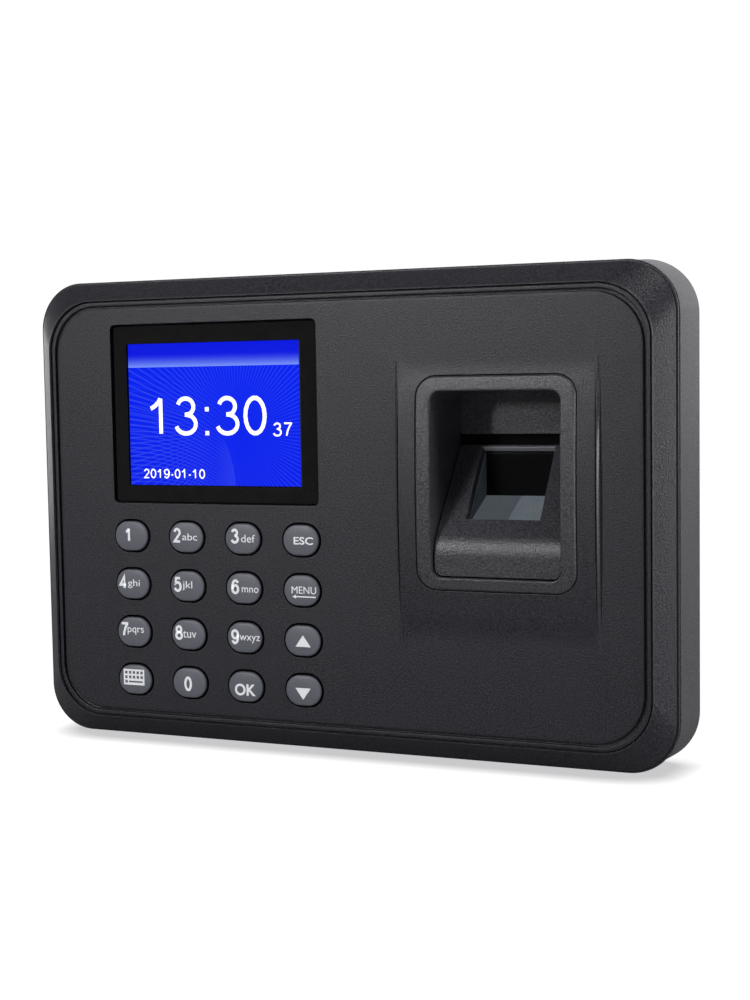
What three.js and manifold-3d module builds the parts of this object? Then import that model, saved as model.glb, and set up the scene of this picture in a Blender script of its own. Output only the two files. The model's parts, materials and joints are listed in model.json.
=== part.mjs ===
// Wall-mounted fingerprint time clock, modelled as its separate pieces.
//
// Millimetres. X runs to the right as seen from the front, Z is up and the front faces -Y.
// The origin is the centre of the wall plate's back face, which lies in the plane y = 0.
// "Depth" is measured from the flat front panel towards the wall, so a raised face has a
// negative depth. Pieces that a real screw or clip holds together keep a small gap here.

import * as THREE from 'three';
import { mergeVertices } from 'three/addons/utils/BufferGeometryUtils.js';
import Module from 'manifold-3d';

const wasm = await Module();
wasm.setup();

// ---------------------------------------------------------------- driving dimensions

const PANEL_TO_WALL = 30;
const GAP = 0.3;
const TOUCH = 0.15;

// Widest line of the front shell, where it meets the back shell.
const HOUSING = { halfW: 85.2, halfH: 59.25, corner: 12, depth: 4.15, edge: 0.5 };
const SHELL_WALL = 2.2;
const GROOVE = { inset: 6.6, width: 0.9, depth: 0.9 };
const CREST = { inset: 5.3, rise: 0.58, corner: 13 };
const BACK_SHELL = { front: 4.85, flare: 1.0, back: 22.4, wall: 2.2 };
const PLATEAU = { halfW: 78, halfH: 52, corner: 10, back: 28.2, draft: 1 };
const LIP = { halfW: 81.6, halfH: 55.65, corner: 9, thickness: 1.2, front: 3.5 };

const LENS = { x: -32.5, z: 24.95, halfW: 29.15, halfH: 22.75, corner: 1.2, front: 0.15, thickness: 1.0 };
const GASKET_THICKNESS = 0.3;
const LCD = { x: -33.1, z: 24.75, activeW: 48.96, activeH: 36.72, frameW: 60.3, frameH: 42.7, front: 2.45 };

const KEYS = {
  firstX: -56.55, firstZ: -6.5, pitchX: 16.19, pitchZ: 12.5,
  halfW: 4.85, halfH: 3.85, proud: 1.0, travel: 1.0, holeGap: 0.35,
};
const KEY_ROWS = [
  ['key_1', 'key_2', 'key_3', 'key_esc'],
  ['key_4', 'key_5', 'key_6', 'key_menu'],
  ['key_7', 'key_8', 'key_9', 'key_up'],
  ['key_input', 'key_0', 'key_ok', 'key_down'],
];

// Raised pad around the scanner: a shallow arc that dies into the panel above and below.
const PAD = { x: 42.9, z: 3.6, halfW: 25.1, halfH: 33.9, rise: 1.6, sideDraft: 0.35 };
const RING = { x: 42.9, z: 8, halfW: 19.7, halfH: 25.4, corner: 5, proud: 0.5 };
const RECESS = { z: 7.7, halfW: 16.1, halfH: 22.2, corner: 2.5, taper: 0.7, back: 18.5 };
// The ramp carries the sensor window; its angle is measured from the vertical.
const RAMP = { angle: 37.8 * Math.PI / 180, depth: 4.2, z: -0.75, lipRadius: 8.5, faceDepth: -0.3, sheet: 2.4 };
const WINDOW = { width: 18.6, length: 21.2, sunk: 1.6, thickness: 1.5 };
const PRISM = { width: 18, foot: 1, head: 20.8, back: 19.2 };

const BOARD = { front: 8.0, thickness: 1.6, left: -73, right: 14, bottom: -50, top: 49.5 };
const BOSS = { x: 70, z: 44, meet: 11.75 };
const SCREW = { shaft: 1.45, hole: 1.7, head: 2.8, headHeight: 2.2 };
const WALL_PLATE = { halfW: 44, halfH: 34, corner: 6, thickness: 1.5 };
const HOOK = { x: 30, z: 10.2, halfW: 4, height: 5.8, thickness: 1.5 };

const USB = { x: -22, width: 13.2, height: 5.8, length: 14 };
const JACK = { x: -3, width: 9, height: 9.6, length: 13.5, bore: 2.9 };
const SPEAKER = { x: -57, z: 18, radius: 14, front: 19.9, depth: 5.8 };

const CORNER_STEPS = 6;
const KEY_STEPS = 3;
const ROUND_STEPS = 16;

// ---------------------------------------------------------------- materials

const plastic = (color, roughness) => new THREE.MeshStandardMaterial({ color, roughness, metalness: 0 });
const metal = (color, roughness) => new THREE.MeshStandardMaterial({ color, roughness, metalness: 1 });

const MATERIAL = {
  housing: plastic(0x2b2b2f, 0.55),
  backShell: plastic(0x3a3b3f, 0.5),
  bezel: plastic(0x303034, 0.5),
  lens: plastic(0x0a0a0c, 0.08),
  gasket: plastic(0x050505, 0.8),
  display: plastic(0x1428e0, 0.2),
  whitePlastic: plastic(0xd8d8d4, 0.5),
  flex: plastic(0xb06a20, 0.4),
  keycap: plastic(0x5d6168, 0.4),
  silicone: plastic(0x4a4d52, 0.8),
  glass: plastic(0x1b1f24, 0.04),
  blackPlastic: plastic(0x151517, 0.5),
  board: plastic(0x14502c, 0.5),
  chip: plastic(0x101012, 0.45),
  connector: plastic(0xe6e0cc, 0.5),
  steel: metal(0xb4b6b8, 0.35),
  screw: metal(0x8e8f92, 0.3),
  ribbon: plastic(0xc9c9c4, 0.5),
};

// ---------------------------------------------------------------- geometry helpers

const yAt = (depth) => depth - PANEL_TO_WALL;

// A closed loop of points for a rounded rectangle, anticlockwise seen from the front.
function roundedLoop({ halfW, halfH, corner, x = 0, z = 0 }, steps = CORNER_STEPS) {
  const radius = Math.min(corner, halfW, halfH);
  const signs = [[1, 1], [-1, 1], [-1, -1], [1, -1]];
  return signs.flatMap(([sx, sz], quarter) => {
    const points = [];
    for (let i = 0; i <= steps; i += 1) {
      const angle = (quarter + i / steps) * Math.PI / 2;
      points.push([
        x + sx * (halfW - radius) + radius * Math.cos(angle),
        z + sz * (halfH - radius) + radius * Math.sin(angle),
      ]);
    }
    return points;
  });
}

// A solid through a list of rounded rectangles, each at its own depth, from back to front.
function loft(sections, steps = CORNER_STEPS) {
  const loops = sections.map((section) => roundedLoop(section, steps));
  const count = loops[0].length;
  const positions = [];
  const index = [];
  loops.forEach((loop, i) => loop.forEach(([x, z]) => positions.push(x, yAt(sections[i].depth), z)));
  for (let ring = 0; ring + 1 < loops.length; ring += 1) {
    for (let i = 0; i < count; i += 1) {
      const next = (i + 1) % count;
      const a = ring * count + i;
      const b = ring * count + next;
      const c = a + count;
      const d = b + count;
      index.push(a, b, d, a, d, c);
    }
  }
  const last = (loops.length - 1) * count;
  for (let i = 1; i + 1 < count; i += 1) {
    index.push(0, i + 1, i);
    index.push(last, last + i, last + i + 1);
  }
  const geometry = new THREE.BufferGeometry();
  geometry.setAttribute('position', new THREE.Float32BufferAttribute(positions, 3));
  geometry.setIndex(index);
  return geometry;
}

// A straight rounded block between two depths.
function block(outline, front, back, steps = CORNER_STEPS) {
  return loft([{ ...outline, depth: back }, { ...outline, depth: front }], steps);
}

// A sharp-cornered block given by its limits in x, z and depth.
function box(x0, x1, z0, z1, front, back) {
  const geometry = new THREE.BoxGeometry(x1 - x0, back - front, z1 - z0);
  return geometry.translate((x0 + x1) / 2, yAt((front + back) / 2), (z0 + z1) / 2);
}

// A round bar along the depth direction.
function rod(radius, x, z, front, back, steps = ROUND_STEPS) {
  const geometry = new THREE.CylinderGeometry(radius, radius, back - front, steps);
  return geometry.translate(x, yAt((front + back) / 2), z);
}

// A solid of revolution about a line along the depth direction; the profile is [radius, depth].
function turned(profile, x, z, steps = ROUND_STEPS) {
  const points = profile.map(([radius, depth]) => new THREE.Vector2(radius, yAt(depth)));
  return new THREE.LatheGeometry(points, steps).translate(x, 0, z);
}

function polygon(points) {
  return new THREE.Shape(points.map(([u, v]) => new THREE.Vector2(u, v)));
}

// A side profile in (depth, z), extruded symmetrically across x.
function sideProfile(points, centreX, width) {
  const geometry = new THREE.ExtrudeGeometry(polygon(points), { depth: width, bevelEnabled: false });
  const toFrame = new THREE.Matrix4().set(
    0, 0, 1, centreX - width / 2,
    1, 0, 0, yAt(0),
    0, 1, 0, 0,
    0, 0, 0, 1,
  );
  return geometry.applyMatrix4(toFrame);
}

// A plan profile in (x, depth), extruded symmetrically up and down z.
function planProfile(points, centreZ, height) {
  const geometry = new THREE.ExtrudeGeometry(polygon(points), { depth: height, bevelEnabled: false });
  const toFrame = new THREE.Matrix4().set(
    1, 0, 0, 0,
    0, 1, 0, yAt(0),
    0, 0, 1, centreZ - height / 2,
    0, 0, 0, 1,
  );
  return geometry.applyMatrix4(toFrame);
}

function toSolid(geometry) {
  const plain = geometry.clone();
  plain.deleteAttribute('normal');
  plain.deleteAttribute('uv');
  const merged = mergeVertices(plain, 1e-4);
  return new wasm.Manifold(new wasm.Mesh({
    numProp: 3,
    vertProperties: new Float32Array(merged.attributes.position.array),
    triVerts: new Uint32Array(merged.index.array),
  }));
}

function toGeometry(solid) {
  const mesh = solid.getMesh();
  const geometry = new THREE.BufferGeometry();
  geometry.setAttribute('position', new THREE.BufferAttribute(mesh.vertProperties, 3));
  geometry.setIndex(new THREE.BufferAttribute(mesh.triVerts, 1));
  return geometry;
}

const join = (first, ...rest) => toGeometry(rest.reduce((s, g) => s.add(toSolid(g)), toSolid(first)));
const cut = (first, ...rest) => toGeometry(rest.reduce((s, g) => s.subtract(toSolid(g)), toSolid(first)));
const common = (first, second) => toGeometry(toSolid(first).intersect(toSolid(second)));

const inset = (outline, by) => ({ ...outline, halfW: outline.halfW - by, halfH: outline.halfH - by });
const grown = (outline, by) => ({ ...inset(outline, -by), corner: outline.corner + by });

// ---------------------------------------------------------------- the whole object

const terminal = new THREE.Group();

function addPart(name, geometry, material) {
  geometry.computeVertexNormals();
  const mesh = new THREE.Mesh(geometry, material);
  mesh.name = name;
  terminal.add(mesh);
}

const keyCentres = KEY_ROWS.flatMap((row, j) => row.map((name, i) => ({
  name,
  x: KEYS.firstX + i * KEYS.pitchX,
  z: KEYS.firstZ - j * KEYS.pitchZ,
})));

const bossCentres = [[-1, 1], [1, 1], [-1, -1], [1, -1]].map(([sx, sz]) => [sx * BOSS.x, sz * BOSS.z]);
const boardPosts = [[-69, 20], [-69, -20], [8, 42], [8, -44]];

const obround = (halfW, halfH, x, z) => ({ halfW, halfH, corner: Math.min(halfW, halfH) * 0.98, x, z });

// ---------------------------------------------------------------- raised pad and scanner opening

// Half-cylinder lens shape whose front is the pad's arc, moved forward by `proud`.
function padArc(proud, halfW, halfH, back) {
  const radius = (PAD.halfH ** 2 + PAD.rise ** 2) / (2 * PAD.rise);
  const steps = 16;
  const points = [[back, PAD.z - halfH]];
  for (let i = 0; i <= steps; i += 1) {
    const z = -halfH + 2 * halfH * i / steps;
    const depth = radius - PAD.rise - Math.sqrt(radius ** 2 - Math.min(Math.abs(z), PAD.halfH) ** 2);
    points.push([depth - proud, PAD.z + z]);
  }
  points.push([back, PAD.z + halfH]);
  return sideProfile(points.reverse(), PAD.x, 2 * halfW);
}

// The pad's side walls lean in a little, which leaves their ends pointed.
function pad() {
  const foot = { halfW: PAD.halfW, halfH: PAD.halfH + 2, corner: 0.1, x: PAD.x, z: PAD.z };
  const walls = loft([
    { ...foot, depth: 0.5 },
    { ...foot, depth: 0 },
    { ...foot, halfW: PAD.halfW - PAD.sideDraft, depth: -PAD.rise - 1 },
  ], 1);
  return common(padArc(0, PAD.halfW, PAD.halfH, 0.5), walls);
}

// The tapered space that a finger goes into, made smaller by `gap` on every side.
function recessPlug(gap) {
  const mouth = { x: RING.x, z: RECESS.z, corner: RECESS.corner };
  return loft([
    {
      ...mouth,
      halfW: RECESS.halfW - RECESS.taper - gap,
      halfH: RECESS.halfH - RECESS.taper - gap,
      depth: RECESS.back + 0.01,
    },
    { ...mouth, halfW: RECESS.halfW - gap, halfH: RECESS.halfH - gap, depth: -4 },
  ], 4);
}

// A point on the ramp: `along` the slope from the window's foot, `below` its surface.
function onRamp(along, below) {
  const sin = Math.sin(RAMP.angle);
  const cos = Math.cos(RAMP.angle);
  return [RAMP.depth + along * sin + below * cos, RAMP.z + along * cos - below * sin];
}

// ---------------------------------------------------------------- shells

function frontShell() {
  const rim = { halfW: HOUSING.halfW, halfH: HOUSING.halfH, corner: HOUSING.corner };
  const crestTop = { ...inset(rim, CREST.inset), corner: CREST.corner };
  const grooveOuter = { ...inset(rim, GROOVE.inset), corner: HOUSING.corner };
  const grooveInner = { ...inset(grooveOuter, GROOVE.width), corner: HOUSING.corner };
  const body = loft([
    { ...rim, depth: HOUSING.depth + HOUSING.edge },
    { ...rim, depth: HOUSING.depth },
    { ...crestTop, depth: -CREST.rise + 0.12 },
    { ...inset(crestTop, 0.25), depth: -CREST.rise },
    { ...inset(crestTop, 0.75), depth: 0 },
    { ...grooveOuter, depth: 0 },
    { ...grooveOuter, depth: GROOVE.depth },
    { ...grooveInner, depth: GROOVE.depth },
    { ...grooveInner, depth: 0 },
  ]);
  const cavity = loft([
    { ...grown(LIP, GAP), depth: HOUSING.depth + HOUSING.edge + 1 },
    { ...grown(LIP, GAP), depth: LIP.front - GAP },
    { ...inset(LIP, 3.3), depth: SHELL_WALL },
  ]);
  const bosses = bossCentres.map(([x, z]) => rod(3.5, x, z, SHELL_WALL - 0.5, BOSS.meet - TOUCH));
  const posts = boardPosts.map(([x, z]) => rod(3, x, z, SHELL_WALL - 0.5, BOARD.front - TOUCH));
  const lensSeat = { x: LENS.x, z: LENS.z, halfW: LENS.halfW + 0.2, halfH: LENS.halfH + 0.2, corner: 1.3 };
  const lensFloor = LENS.front + LENS.thickness + GASKET_THICKNESS + TOUCH;
  const lensWindow = { ...inset(lensSeat, 2.8), corner: 1 };
  const ringHole = grown(RING, 0.25);
  const keyHoles = keyCentres.map(({ x, z }) => block(
    obround(KEYS.halfW + KEYS.holeGap, KEYS.halfH + KEYS.holeGap, x, z), -2, SHELL_WALL + 1, KEY_STEPS,
  ));
  return cut(
    join(cut(body, cavity), pad(), ...bosses, ...posts),
    block(lensSeat, -2, lensFloor, 2),
    block(lensWindow, -2, SHELL_WALL + 1, 2),
    block(ringHole, -4, SHELL_WALL + 1, 5),
    ...keyHoles,
    ...bossCentres.map(([x, z]) => rod(SCREW.hole, x, z, 4, BOSS.meet + 1, 12)),
    ...boardPosts.map(([x, z]) => rod(SCREW.hole, x, z, 3.5, BOARD.front + 1, 12)),
  );
}

function backShell() {
  const rim = { halfW: HOUSING.halfW, halfH: HOUSING.halfH, corner: HOUSING.corner };
  const flared = grown(rim, BACK_SHELL.flare);
  const plateauFoot = { halfW: PLATEAU.halfW, halfH: PLATEAU.halfH, corner: PLATEAU.corner };
  const outside = loft([
    { ...inset(plateauFoot, PLATEAU.draft), depth: PLATEAU.back },
    { ...plateauFoot, depth: BACK_SHELL.back },
    { ...inset(flared, 0.5), depth: BACK_SHELL.back },
    { ...flared, depth: BACK_SHELL.back - 0.5 },
    { ...inset(rim, 0.25), depth: BACK_SHELL.front + 0.3 },
    { ...inset(rim, 0.45), depth: BACK_SHELL.front },
  ]);
  const lip = block(LIP, LIP.front, BACK_SHELL.front + 2);
  const floor = BACK_SHELL.back - BACK_SHELL.wall;
  const cavity = loft([
    { ...inset(plateauFoot, PLATEAU.draft + BACK_SHELL.wall), depth: PLATEAU.back - BACK_SHELL.wall },
    { ...inset(plateauFoot, BACK_SHELL.wall), depth: floor },
    { ...inset(flared, BACK_SHELL.wall), depth: floor },
    { ...inset(rim, BACK_SHELL.wall + 0.2), depth: BACK_SHELL.front + 4 },
    { ...inset(LIP, LIP.thickness), depth: BACK_SHELL.front + 1.2 },
    { ...inset(LIP, LIP.thickness), depth: LIP.front - 1 },
  ]);
  const towers = bossCentres.map(([x, z]) => rod(4.6, x, z, BOSS.meet + TOUCH, PLATEAU.back - 1));
  const wells = bossCentres.map(([x, z]) => rod(3.3, x, z, BOSS.meet + 2.4, PLATEAU.back + 1));
  const throughHoles = bossCentres.map(([x, z]) => rod(SCREW.hole, x, z, BOSS.meet - 1, PLATEAU.back, 12));
  const hookSlots = [-1, 1].map((side) => box(
    side * HOOK.x - HOOK.halfW - 0.8, side * HOOK.x + HOOK.halfW + 0.8,
    HOOK.z - 7.2, HOOK.z + HOOK.thickness + GAP, PLATEAU.back - 4, PLATEAU.back + 1,
  ));
  const usbMouth = box(
    USB.x - USB.width / 2 - GAP, USB.x + USB.width / 2 + GAP, -70, -50,
    usbFront() - GAP, usbFront() + USB.height + GAP,
  );
  const jackMouth = box(
    JACK.x - JACK.width / 2 - GAP, JACK.x + JACK.width / 2 + GAP, -70, -50,
    usbFront() - GAP, usbFront() + JACK.height + GAP,
  );
  const lockHole = new THREE.CylinderGeometry(SCREW.hole, SCREW.hole, 14, 12)
    .translate(0, yAt(lockScrewDepth()), -PLATEAU.halfH + 2);
  return cut(
    join(cut(join(outside, lip), cavity), ...towers),
    ...wells,
    ...throughHoles,
    ...hookSlots,
    ...speakerHoles(),
    usbMouth,
    jackMouth,
    lockHole.applyMatrix4(uprightAbout(yAt(lockScrewDepth()), -PLATEAU.halfH + 2)),
  );
}

// Turns a bar that lies along y into one that stands along z, about the given point.
function uprightAbout(y, z) {
  return new THREE.Matrix4().makeTranslation(0, y, z)
    .multiply(new THREE.Matrix4().makeRotationX(Math.PI / 2))
    .multiply(new THREE.Matrix4().makeTranslation(0, -y, -z));
}

function speakerHoles() {
  const holes = [[0, 0]];
  for (let i = 0; i < 6; i += 1) {
    const angle = i * Math.PI / 3;
    holes.push([5 * Math.cos(angle), 5 * Math.sin(angle)]);
  }
  return holes.map(([dx, dz]) => rod(1.1, SPEAKER.x + dx, SPEAKER.z + dz, PLATEAU.back - 4, PLATEAU.back + 1, 10));
}

// ---------------------------------------------------------------- display

const lensFace = { x: LENS.x, z: LENS.z, halfW: LENS.halfW, halfH: LENS.halfH, corner: LENS.corner };

function displayLens() {
  return block(lensFace, LENS.front, LENS.front + LENS.thickness, 3);
}

function lensGasket() {
  const front = LENS.front + LENS.thickness;
  const back = front + GASKET_THICKNESS;
  const opening = { x: LCD.x, z: LCD.z, halfW: LCD.activeW / 2 + 0.3, halfH: LCD.activeH / 2 + 0.3, corner: 0.3 };
  return cut(block(inset(lensFace, 0.4), front, back, 2), block(opening, front - 1, back + 1, 1));
}

function lcdOutline(shrink) {
  return { x: LCD.x, z: LCD.z, halfW: LCD.frameW / 2 - shrink, halfH: LCD.frameH / 2 - shrink, corner: 0.8 };
}

function lcdPanel() {
  return block(lcdOutline(1.1), LCD.front, LCD.front + 0.9, 1);
}

function backlight() {
  const back = LCD.front + 2.6;
  return cut(
    block(lcdOutline(0), LCD.front, back, 1),
    block(lcdOutline(1.1 - 0.2), LCD.front - 1, LCD.front + 0.9 + TOUCH, 1),
  );
}

// The display's ribbon leaves the backlight's right edge and folds back to the main board.
function displayRibbon() {
  const start = LCD.x + LCD.frameW / 2 + TOUCH;
  const top = LCD.front + 1.6;
  const bottom = BOARD.front - 1.35;
  const radius = (bottom - top) / 2;
  const thickness = 0.35;
  const bend = (r) => {
    const points = [];
    for (let i = 0; i <= 8; i += 1) {
      const angle = -Math.PI / 2 + i * Math.PI / 8;
      points.push([start + 0.6 + r * Math.cos(angle), (top + bottom) / 2 + r * Math.sin(angle)]);
    }
    return points;
  };
  return planProfile([
    [start, top],
    ...bend(radius),
    [start - 9, bottom],
    [start - 9, bottom - thickness],
    ...bend(radius - thickness).reverse(),
    [start, top + thickness],
  ], LCD.z, 22);
}

// ---------------------------------------------------------------- keypad

// One key: rounded cap through the panel, hidden flange, and a stem down to the contact.
function keyPiece(x, z) {
  const { halfW, halfH, proud } = KEYS;
  const flange = { front: SHELL_WALL + 0.2, back: SHELL_WALL + 1.2 };
  const stemEnd = BOARD.front - 0.2 - KEYS.travel;
  return loft([
    { ...obround(3, 2, x, z), depth: stemEnd },
    { ...obround(3, 2, x, z), depth: flange.back },
    { ...obround(halfW + 1.2, halfH + 1.2, x, z), depth: flange.back },
    { ...obround(halfW + 1.2, halfH + 1.2, x, z), depth: flange.front },
    { ...obround(halfW, halfH, x, z), depth: flange.front },
    { ...obround(halfW, halfH, x, z), depth: -proud + 0.45 },
    { ...obround(halfW - 0.4, halfH - 0.4, x, z), depth: -proud },
  ], KEY_STEPS);
}

function keypadMat() {
  const centreX = KEYS.firstX + 1.5 * KEYS.pitchX;
  const centreZ = KEYS.firstZ - 1.5 * KEYS.pitchZ;
  const outline = { x: centreX, z: centreZ, halfW: 32.5, halfH: 25.2, corner: 2 };
  const sheetFront = SHELL_WALL + 1.2 + KEYS.travel + 0.5;
  const sheetBack = sheetFront + 1;
  const base = BOARD.front - TOUCH;
  const guides = keyCentres.map(({ x, z }) => block(obround(4.6, 3.6, x, z), sheetBack - 0.2, base - 0.4, 2));
  const holes = keyCentres.map(({ x, z }) => block(obround(3.4, 2.4, x, z), sheetFront - 1, base + 1, 2));
  const hollow = block({ ...inset(outline, 1.2), corner: 1 }, sheetBack, base + 1, 1);
  return cut(join(cut(block(outline, sheetFront, base, 1), hollow), ...guides), ...holes);
}

// ---------------------------------------------------------------- fingerprint scanner

function scannerBezel() {
  const curvedFront = padArc(RING.proud, RING.halfW + 1, PAD.halfH + 2, SHELL_WALL + 1);
  const ring = common(block(RING, -4, SHELL_WALL + 0.6, 5), curvedFront);
  const flange = block(grown(RING, 2.8), SHELL_WALL + 0.2, SHELL_WALL + 1.8, 5);
  const tube = block({ ...inset(RING, 1.3), corner: 4 }, SHELL_WALL + 1, RECESS.back - GAP, 5);
  return cut(join(ring, flange, tube), recessPlug(0));
}

// Curved lip, ramp and back wall in one moulding, pushed into the bezel from behind.
function fingerGuide() {
  const tangent = RAMP.lipRadius * Math.tan(RAMP.angle / 2);
  const cornerZ = RAMP.z - (RAMP.depth - RAMP.faceDepth) / Math.tan(RAMP.angle);
  const lip = (radius) => {
    const points = [];
    for (let i = 0; i <= 6; i += 1) {
      const angle = RAMP.angle * i / 6;
      points.push([
        RAMP.faceDepth + RAMP.lipRadius - radius * Math.cos(angle),
        cornerZ - tangent + radius * Math.sin(angle),
      ]);
    }
    return points;
  };
  const foot = RECESS.z - RECESS.halfH;
  const sheet = sideProfile([
    [RAMP.faceDepth, foot],
    ...lip(RAMP.lipRadius),
    onRamp(WINDOW.length + 0.5, 0),
    onRamp(WINDOW.length + 0.5, RAMP.sheet),
    ...lip(RAMP.lipRadius - RAMP.sheet).reverse(),
    [RAMP.faceDepth + RAMP.sheet, foot],
  ].reverse(), RING.x, 2 * RECESS.halfW);
  const slotTop = 19;
  const slotFoot = 15.2;
  const half = RING.halfW - 1.5;
  const backWall = box(RING.x - half, RING.x + half, slotTop, RECESS.z + 23.5, RECESS.back, RECESS.back + 2);
  const slotWall = box(RING.x - half, RING.x + half, slotFoot, slotTop + 2, RECESS.back + 2, RECESS.back + 3.5);
  const bridge = common(
    box(RING.x - half, RING.x + half, slotFoot - 1, slotFoot + 0.9, 17.5, RECESS.back + 3.5),
    box(RING.x - RECESS.halfW + 1.1, RING.x + RECESS.halfW - 1.1, 0, 30, 10, 30),
  );
  const inside = common(sheet, recessPlug(GAP));
  const opening = rampBlock(0, WINDOW.length, WINDOW.width, -3, RAMP.sheet + 5);
  return cut(join(inside, backWall, slotWall, bridge), opening);
}

// A block square to the ramp, from `start` to `end` along it and `top` to `bottom` below it.
function rampBlock(start, end, width, top, bottom) {
  return sideProfile(
    [onRamp(start, top), onRamp(start, bottom), onRamp(end, bottom), onRamp(end, top)],
    RING.x, width,
  );
}

function sensorWindow() {
  const rim = 0.2;
  return rampBlock(
    rim, WINDOW.length - rim, WINDOW.width - 2 * rim, WINDOW.sunk, WINDOW.sunk + WINDOW.thickness,
  );
}

const sensorFront = WINDOW.sunk + WINDOW.thickness;

function sensorPrism() {
  const front = sensorFront + GAP;
  const foot = onRamp(PRISM.foot, front);
  const length = (PRISM.back - foot[0]) / Math.sin(RAMP.angle);
  const head = onRamp(PRISM.foot + length, front);
  return sideProfile([foot, [PRISM.back, foot[1]], head], RING.x, PRISM.width);
}

// Open-backed cradle that holds the prism and the camera behind the ramp.
// Open at the front for the window and at the back for the prism; the camera looks up from below.
function sensorHousing() {
  const prismClearance = 0.4;
  const floorZ = RECESS.z - RECESS.halfH + 1.6;
  const foot = onRamp(-2.2, RAMP.sheet + GAP);
  const head = onRamp(PRISM.head, RAMP.sheet + GAP);
  const back = 21.2;
  const shell = sideProfile([[foot[0], floorZ], [back, floorZ], [back, head[1]], head, foot], RING.x, 26);
  const seat = rampBlock(-0.2, WINDOW.length + 4, WINDOW.width + 0.4, 0, sensorFront + TOUCH);
  const prismFoot = onRamp(PRISM.foot - prismClearance, sensorFront);
  const prismHead = onRamp(PRISM.head - 0.5, sensorFront);
  const below = prismFoot[1] - prismClearance;
  const prismSpace = sideProfile([
    prismFoot, [prismFoot[0], below], [back + 1, below], [back + 1, prismHead[1]], prismHead,
  ], RING.x, PRISM.width + 2 * prismClearance);
  const cameraSpace = box(RING.x - 7, RING.x + 7, floorZ + 1.4, prismFoot[1], 8, back + 1);
  return cut(shell, seat, prismSpace, cameraSpace);
}

function sensorCamera() {
  const z = -7.4;
  return join(
    box(RING.x - 5, RING.x + 5, z - 3.6, z + 3.6, 18.4, sensorBoardFront - TOUCH),
    rod(3, RING.x, z, 11, 18.6, 16),
  );
}

const sensorBoardFront = 21.5;

function sensorBoard() {
  return box(RING.x - 14, RING.x + 14, -18, 13.8, sensorBoardFront, sensorBoardFront + 1.2);
}

// Flat cable from the sensor board round to the main board.
function sensorCable() {
  const from = RING.x - 14 + 1.5;
  const plugBack = sensorBoardFront + 1.2 + TOUCH;
  const boardBack = BOARD.front + BOARD.thickness;
  const thickness = 1.2;
  return planProfile([
    [from + 4, plugBack],
    [from + 4, plugBack + thickness],
    [from - 3, plugBack + thickness],
    [from - 10, plugBack - 3],
    [11, boardBack + 3.4 + thickness],
    [8.9, boardBack + 3.4],
    [8.9, boardBack + 2.2],
    [11.6, boardBack + 2.2 + thickness],
    [from - 9.2, plugBack - 4],
    [from - 2.6, plugBack],
  ].reverse(), 0, 9);
}

// ---------------------------------------------------------------- main board and what it carries

const boardBackDepth = BOARD.front + BOARD.thickness;

function mainBoard() {
  const sheet = box(BOARD.left, BOARD.right, BOARD.bottom, BOARD.top, BOARD.front, boardBackDepth);
  const notches = bossCentres
    .filter(([x]) => x < 0)
    .map(([x, z]) => box(x - 10, x + 5.6, z - (z < 0 ? 10 : 5.6), z + (z < 0 ? 5.6 : 10), 0, 20));
  return cut(
    sheet,
    ...notches,
    ...boardPosts.map(([x, z]) => rod(SCREW.hole, x, z, 0, 20, 12)),
  );
}

function onBoard(x, z, width, height, thickness) {
  return box(
    x - width / 2, x + width / 2, z - height / 2, z + height / 2,
    boardBackDepth + TOUCH, boardBackDepth + TOUCH + thickness,
  );
}

const usbFront = () => boardBackDepth + TOUCH;
const portFace = -(HOUSING.halfH + 0.1);

// USB-A socket: a steel box open at the bottom with its contact tongue inside.
function usbPort() {
  const front = usbFront();
  const half = USB.width / 2;
  const top = portFace + USB.length;
  const shell = box(USB.x - half, USB.x + half, portFace, top, front, front + USB.height);
  const mouth = box(USB.x - half + 0.4, USB.x + half - 0.4, portFace - 1, top - 3, front + 0.4, front + USB.height - 0.4);
  const tongue = box(USB.x - half + 1.2, USB.x + half - 1.2, portFace + 1.5, top - 2, front + 1.2, front + 2.9);
  return join(cut(shell, mouth), tongue);
}

// DC socket: a square block with a round bore and a centre pin, opening downwards.
function powerJack() {
  const front = usbFront();
  const centre = yAt(front + JACK.height / 2);
  const upright = (radius, from, to) => new THREE.CylinderGeometry(radius, radius, to - from, 16)
    .applyMatrix4(new THREE.Matrix4().makeRotationX(Math.PI / 2))
    .translate(JACK.x, centre, (from + to) / 2);
  const body = box(
    JACK.x - JACK.width / 2, JACK.x + JACK.width / 2, portFace, portFace + JACK.length, front, front + JACK.height,
  );
  return join(cut(body, upright(JACK.bore, portFace - 1, portFace + 10)), upright(1, portFace + 1, portFace + 11));
}

function batteryHolder() {
  const front = boardBackDepth + TOUCH;
  return cut(
    block({ x: -45, z: -30, halfW: 12.5, halfH: 11.5, corner: 3 }, front, front + 4, 3),
    rod(10.3, -45, -30, front + 0.8, front + 6, 24),
  );
}

function clockBattery() {
  const front = boardBackDepth + 1 + TOUCH * 2;
  return turned([
    [0, front], [8.8, front], [9.1, front + 0.6], [10, front + 0.9], [10, front + 3.2], [0, front + 3.2],
  ], -45, -30, 24);
}

function speaker() {
  const { front, depth, radius } = SPEAKER;
  return turned([
    [0, front], [7, front], [7, front + 2.6], [radius - 1, front + 3.8], [radius, front + 4],
    [radius, front + depth], [radius - 1.5, front + depth], [radius - 2.5, front + depth - 0.9],
    [3, front + depth - 2], [0, front + depth - 1.6],
  ], SPEAKER.x, SPEAKER.z);
}

// ---------------------------------------------------------------- fasteners and wall plate

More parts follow.
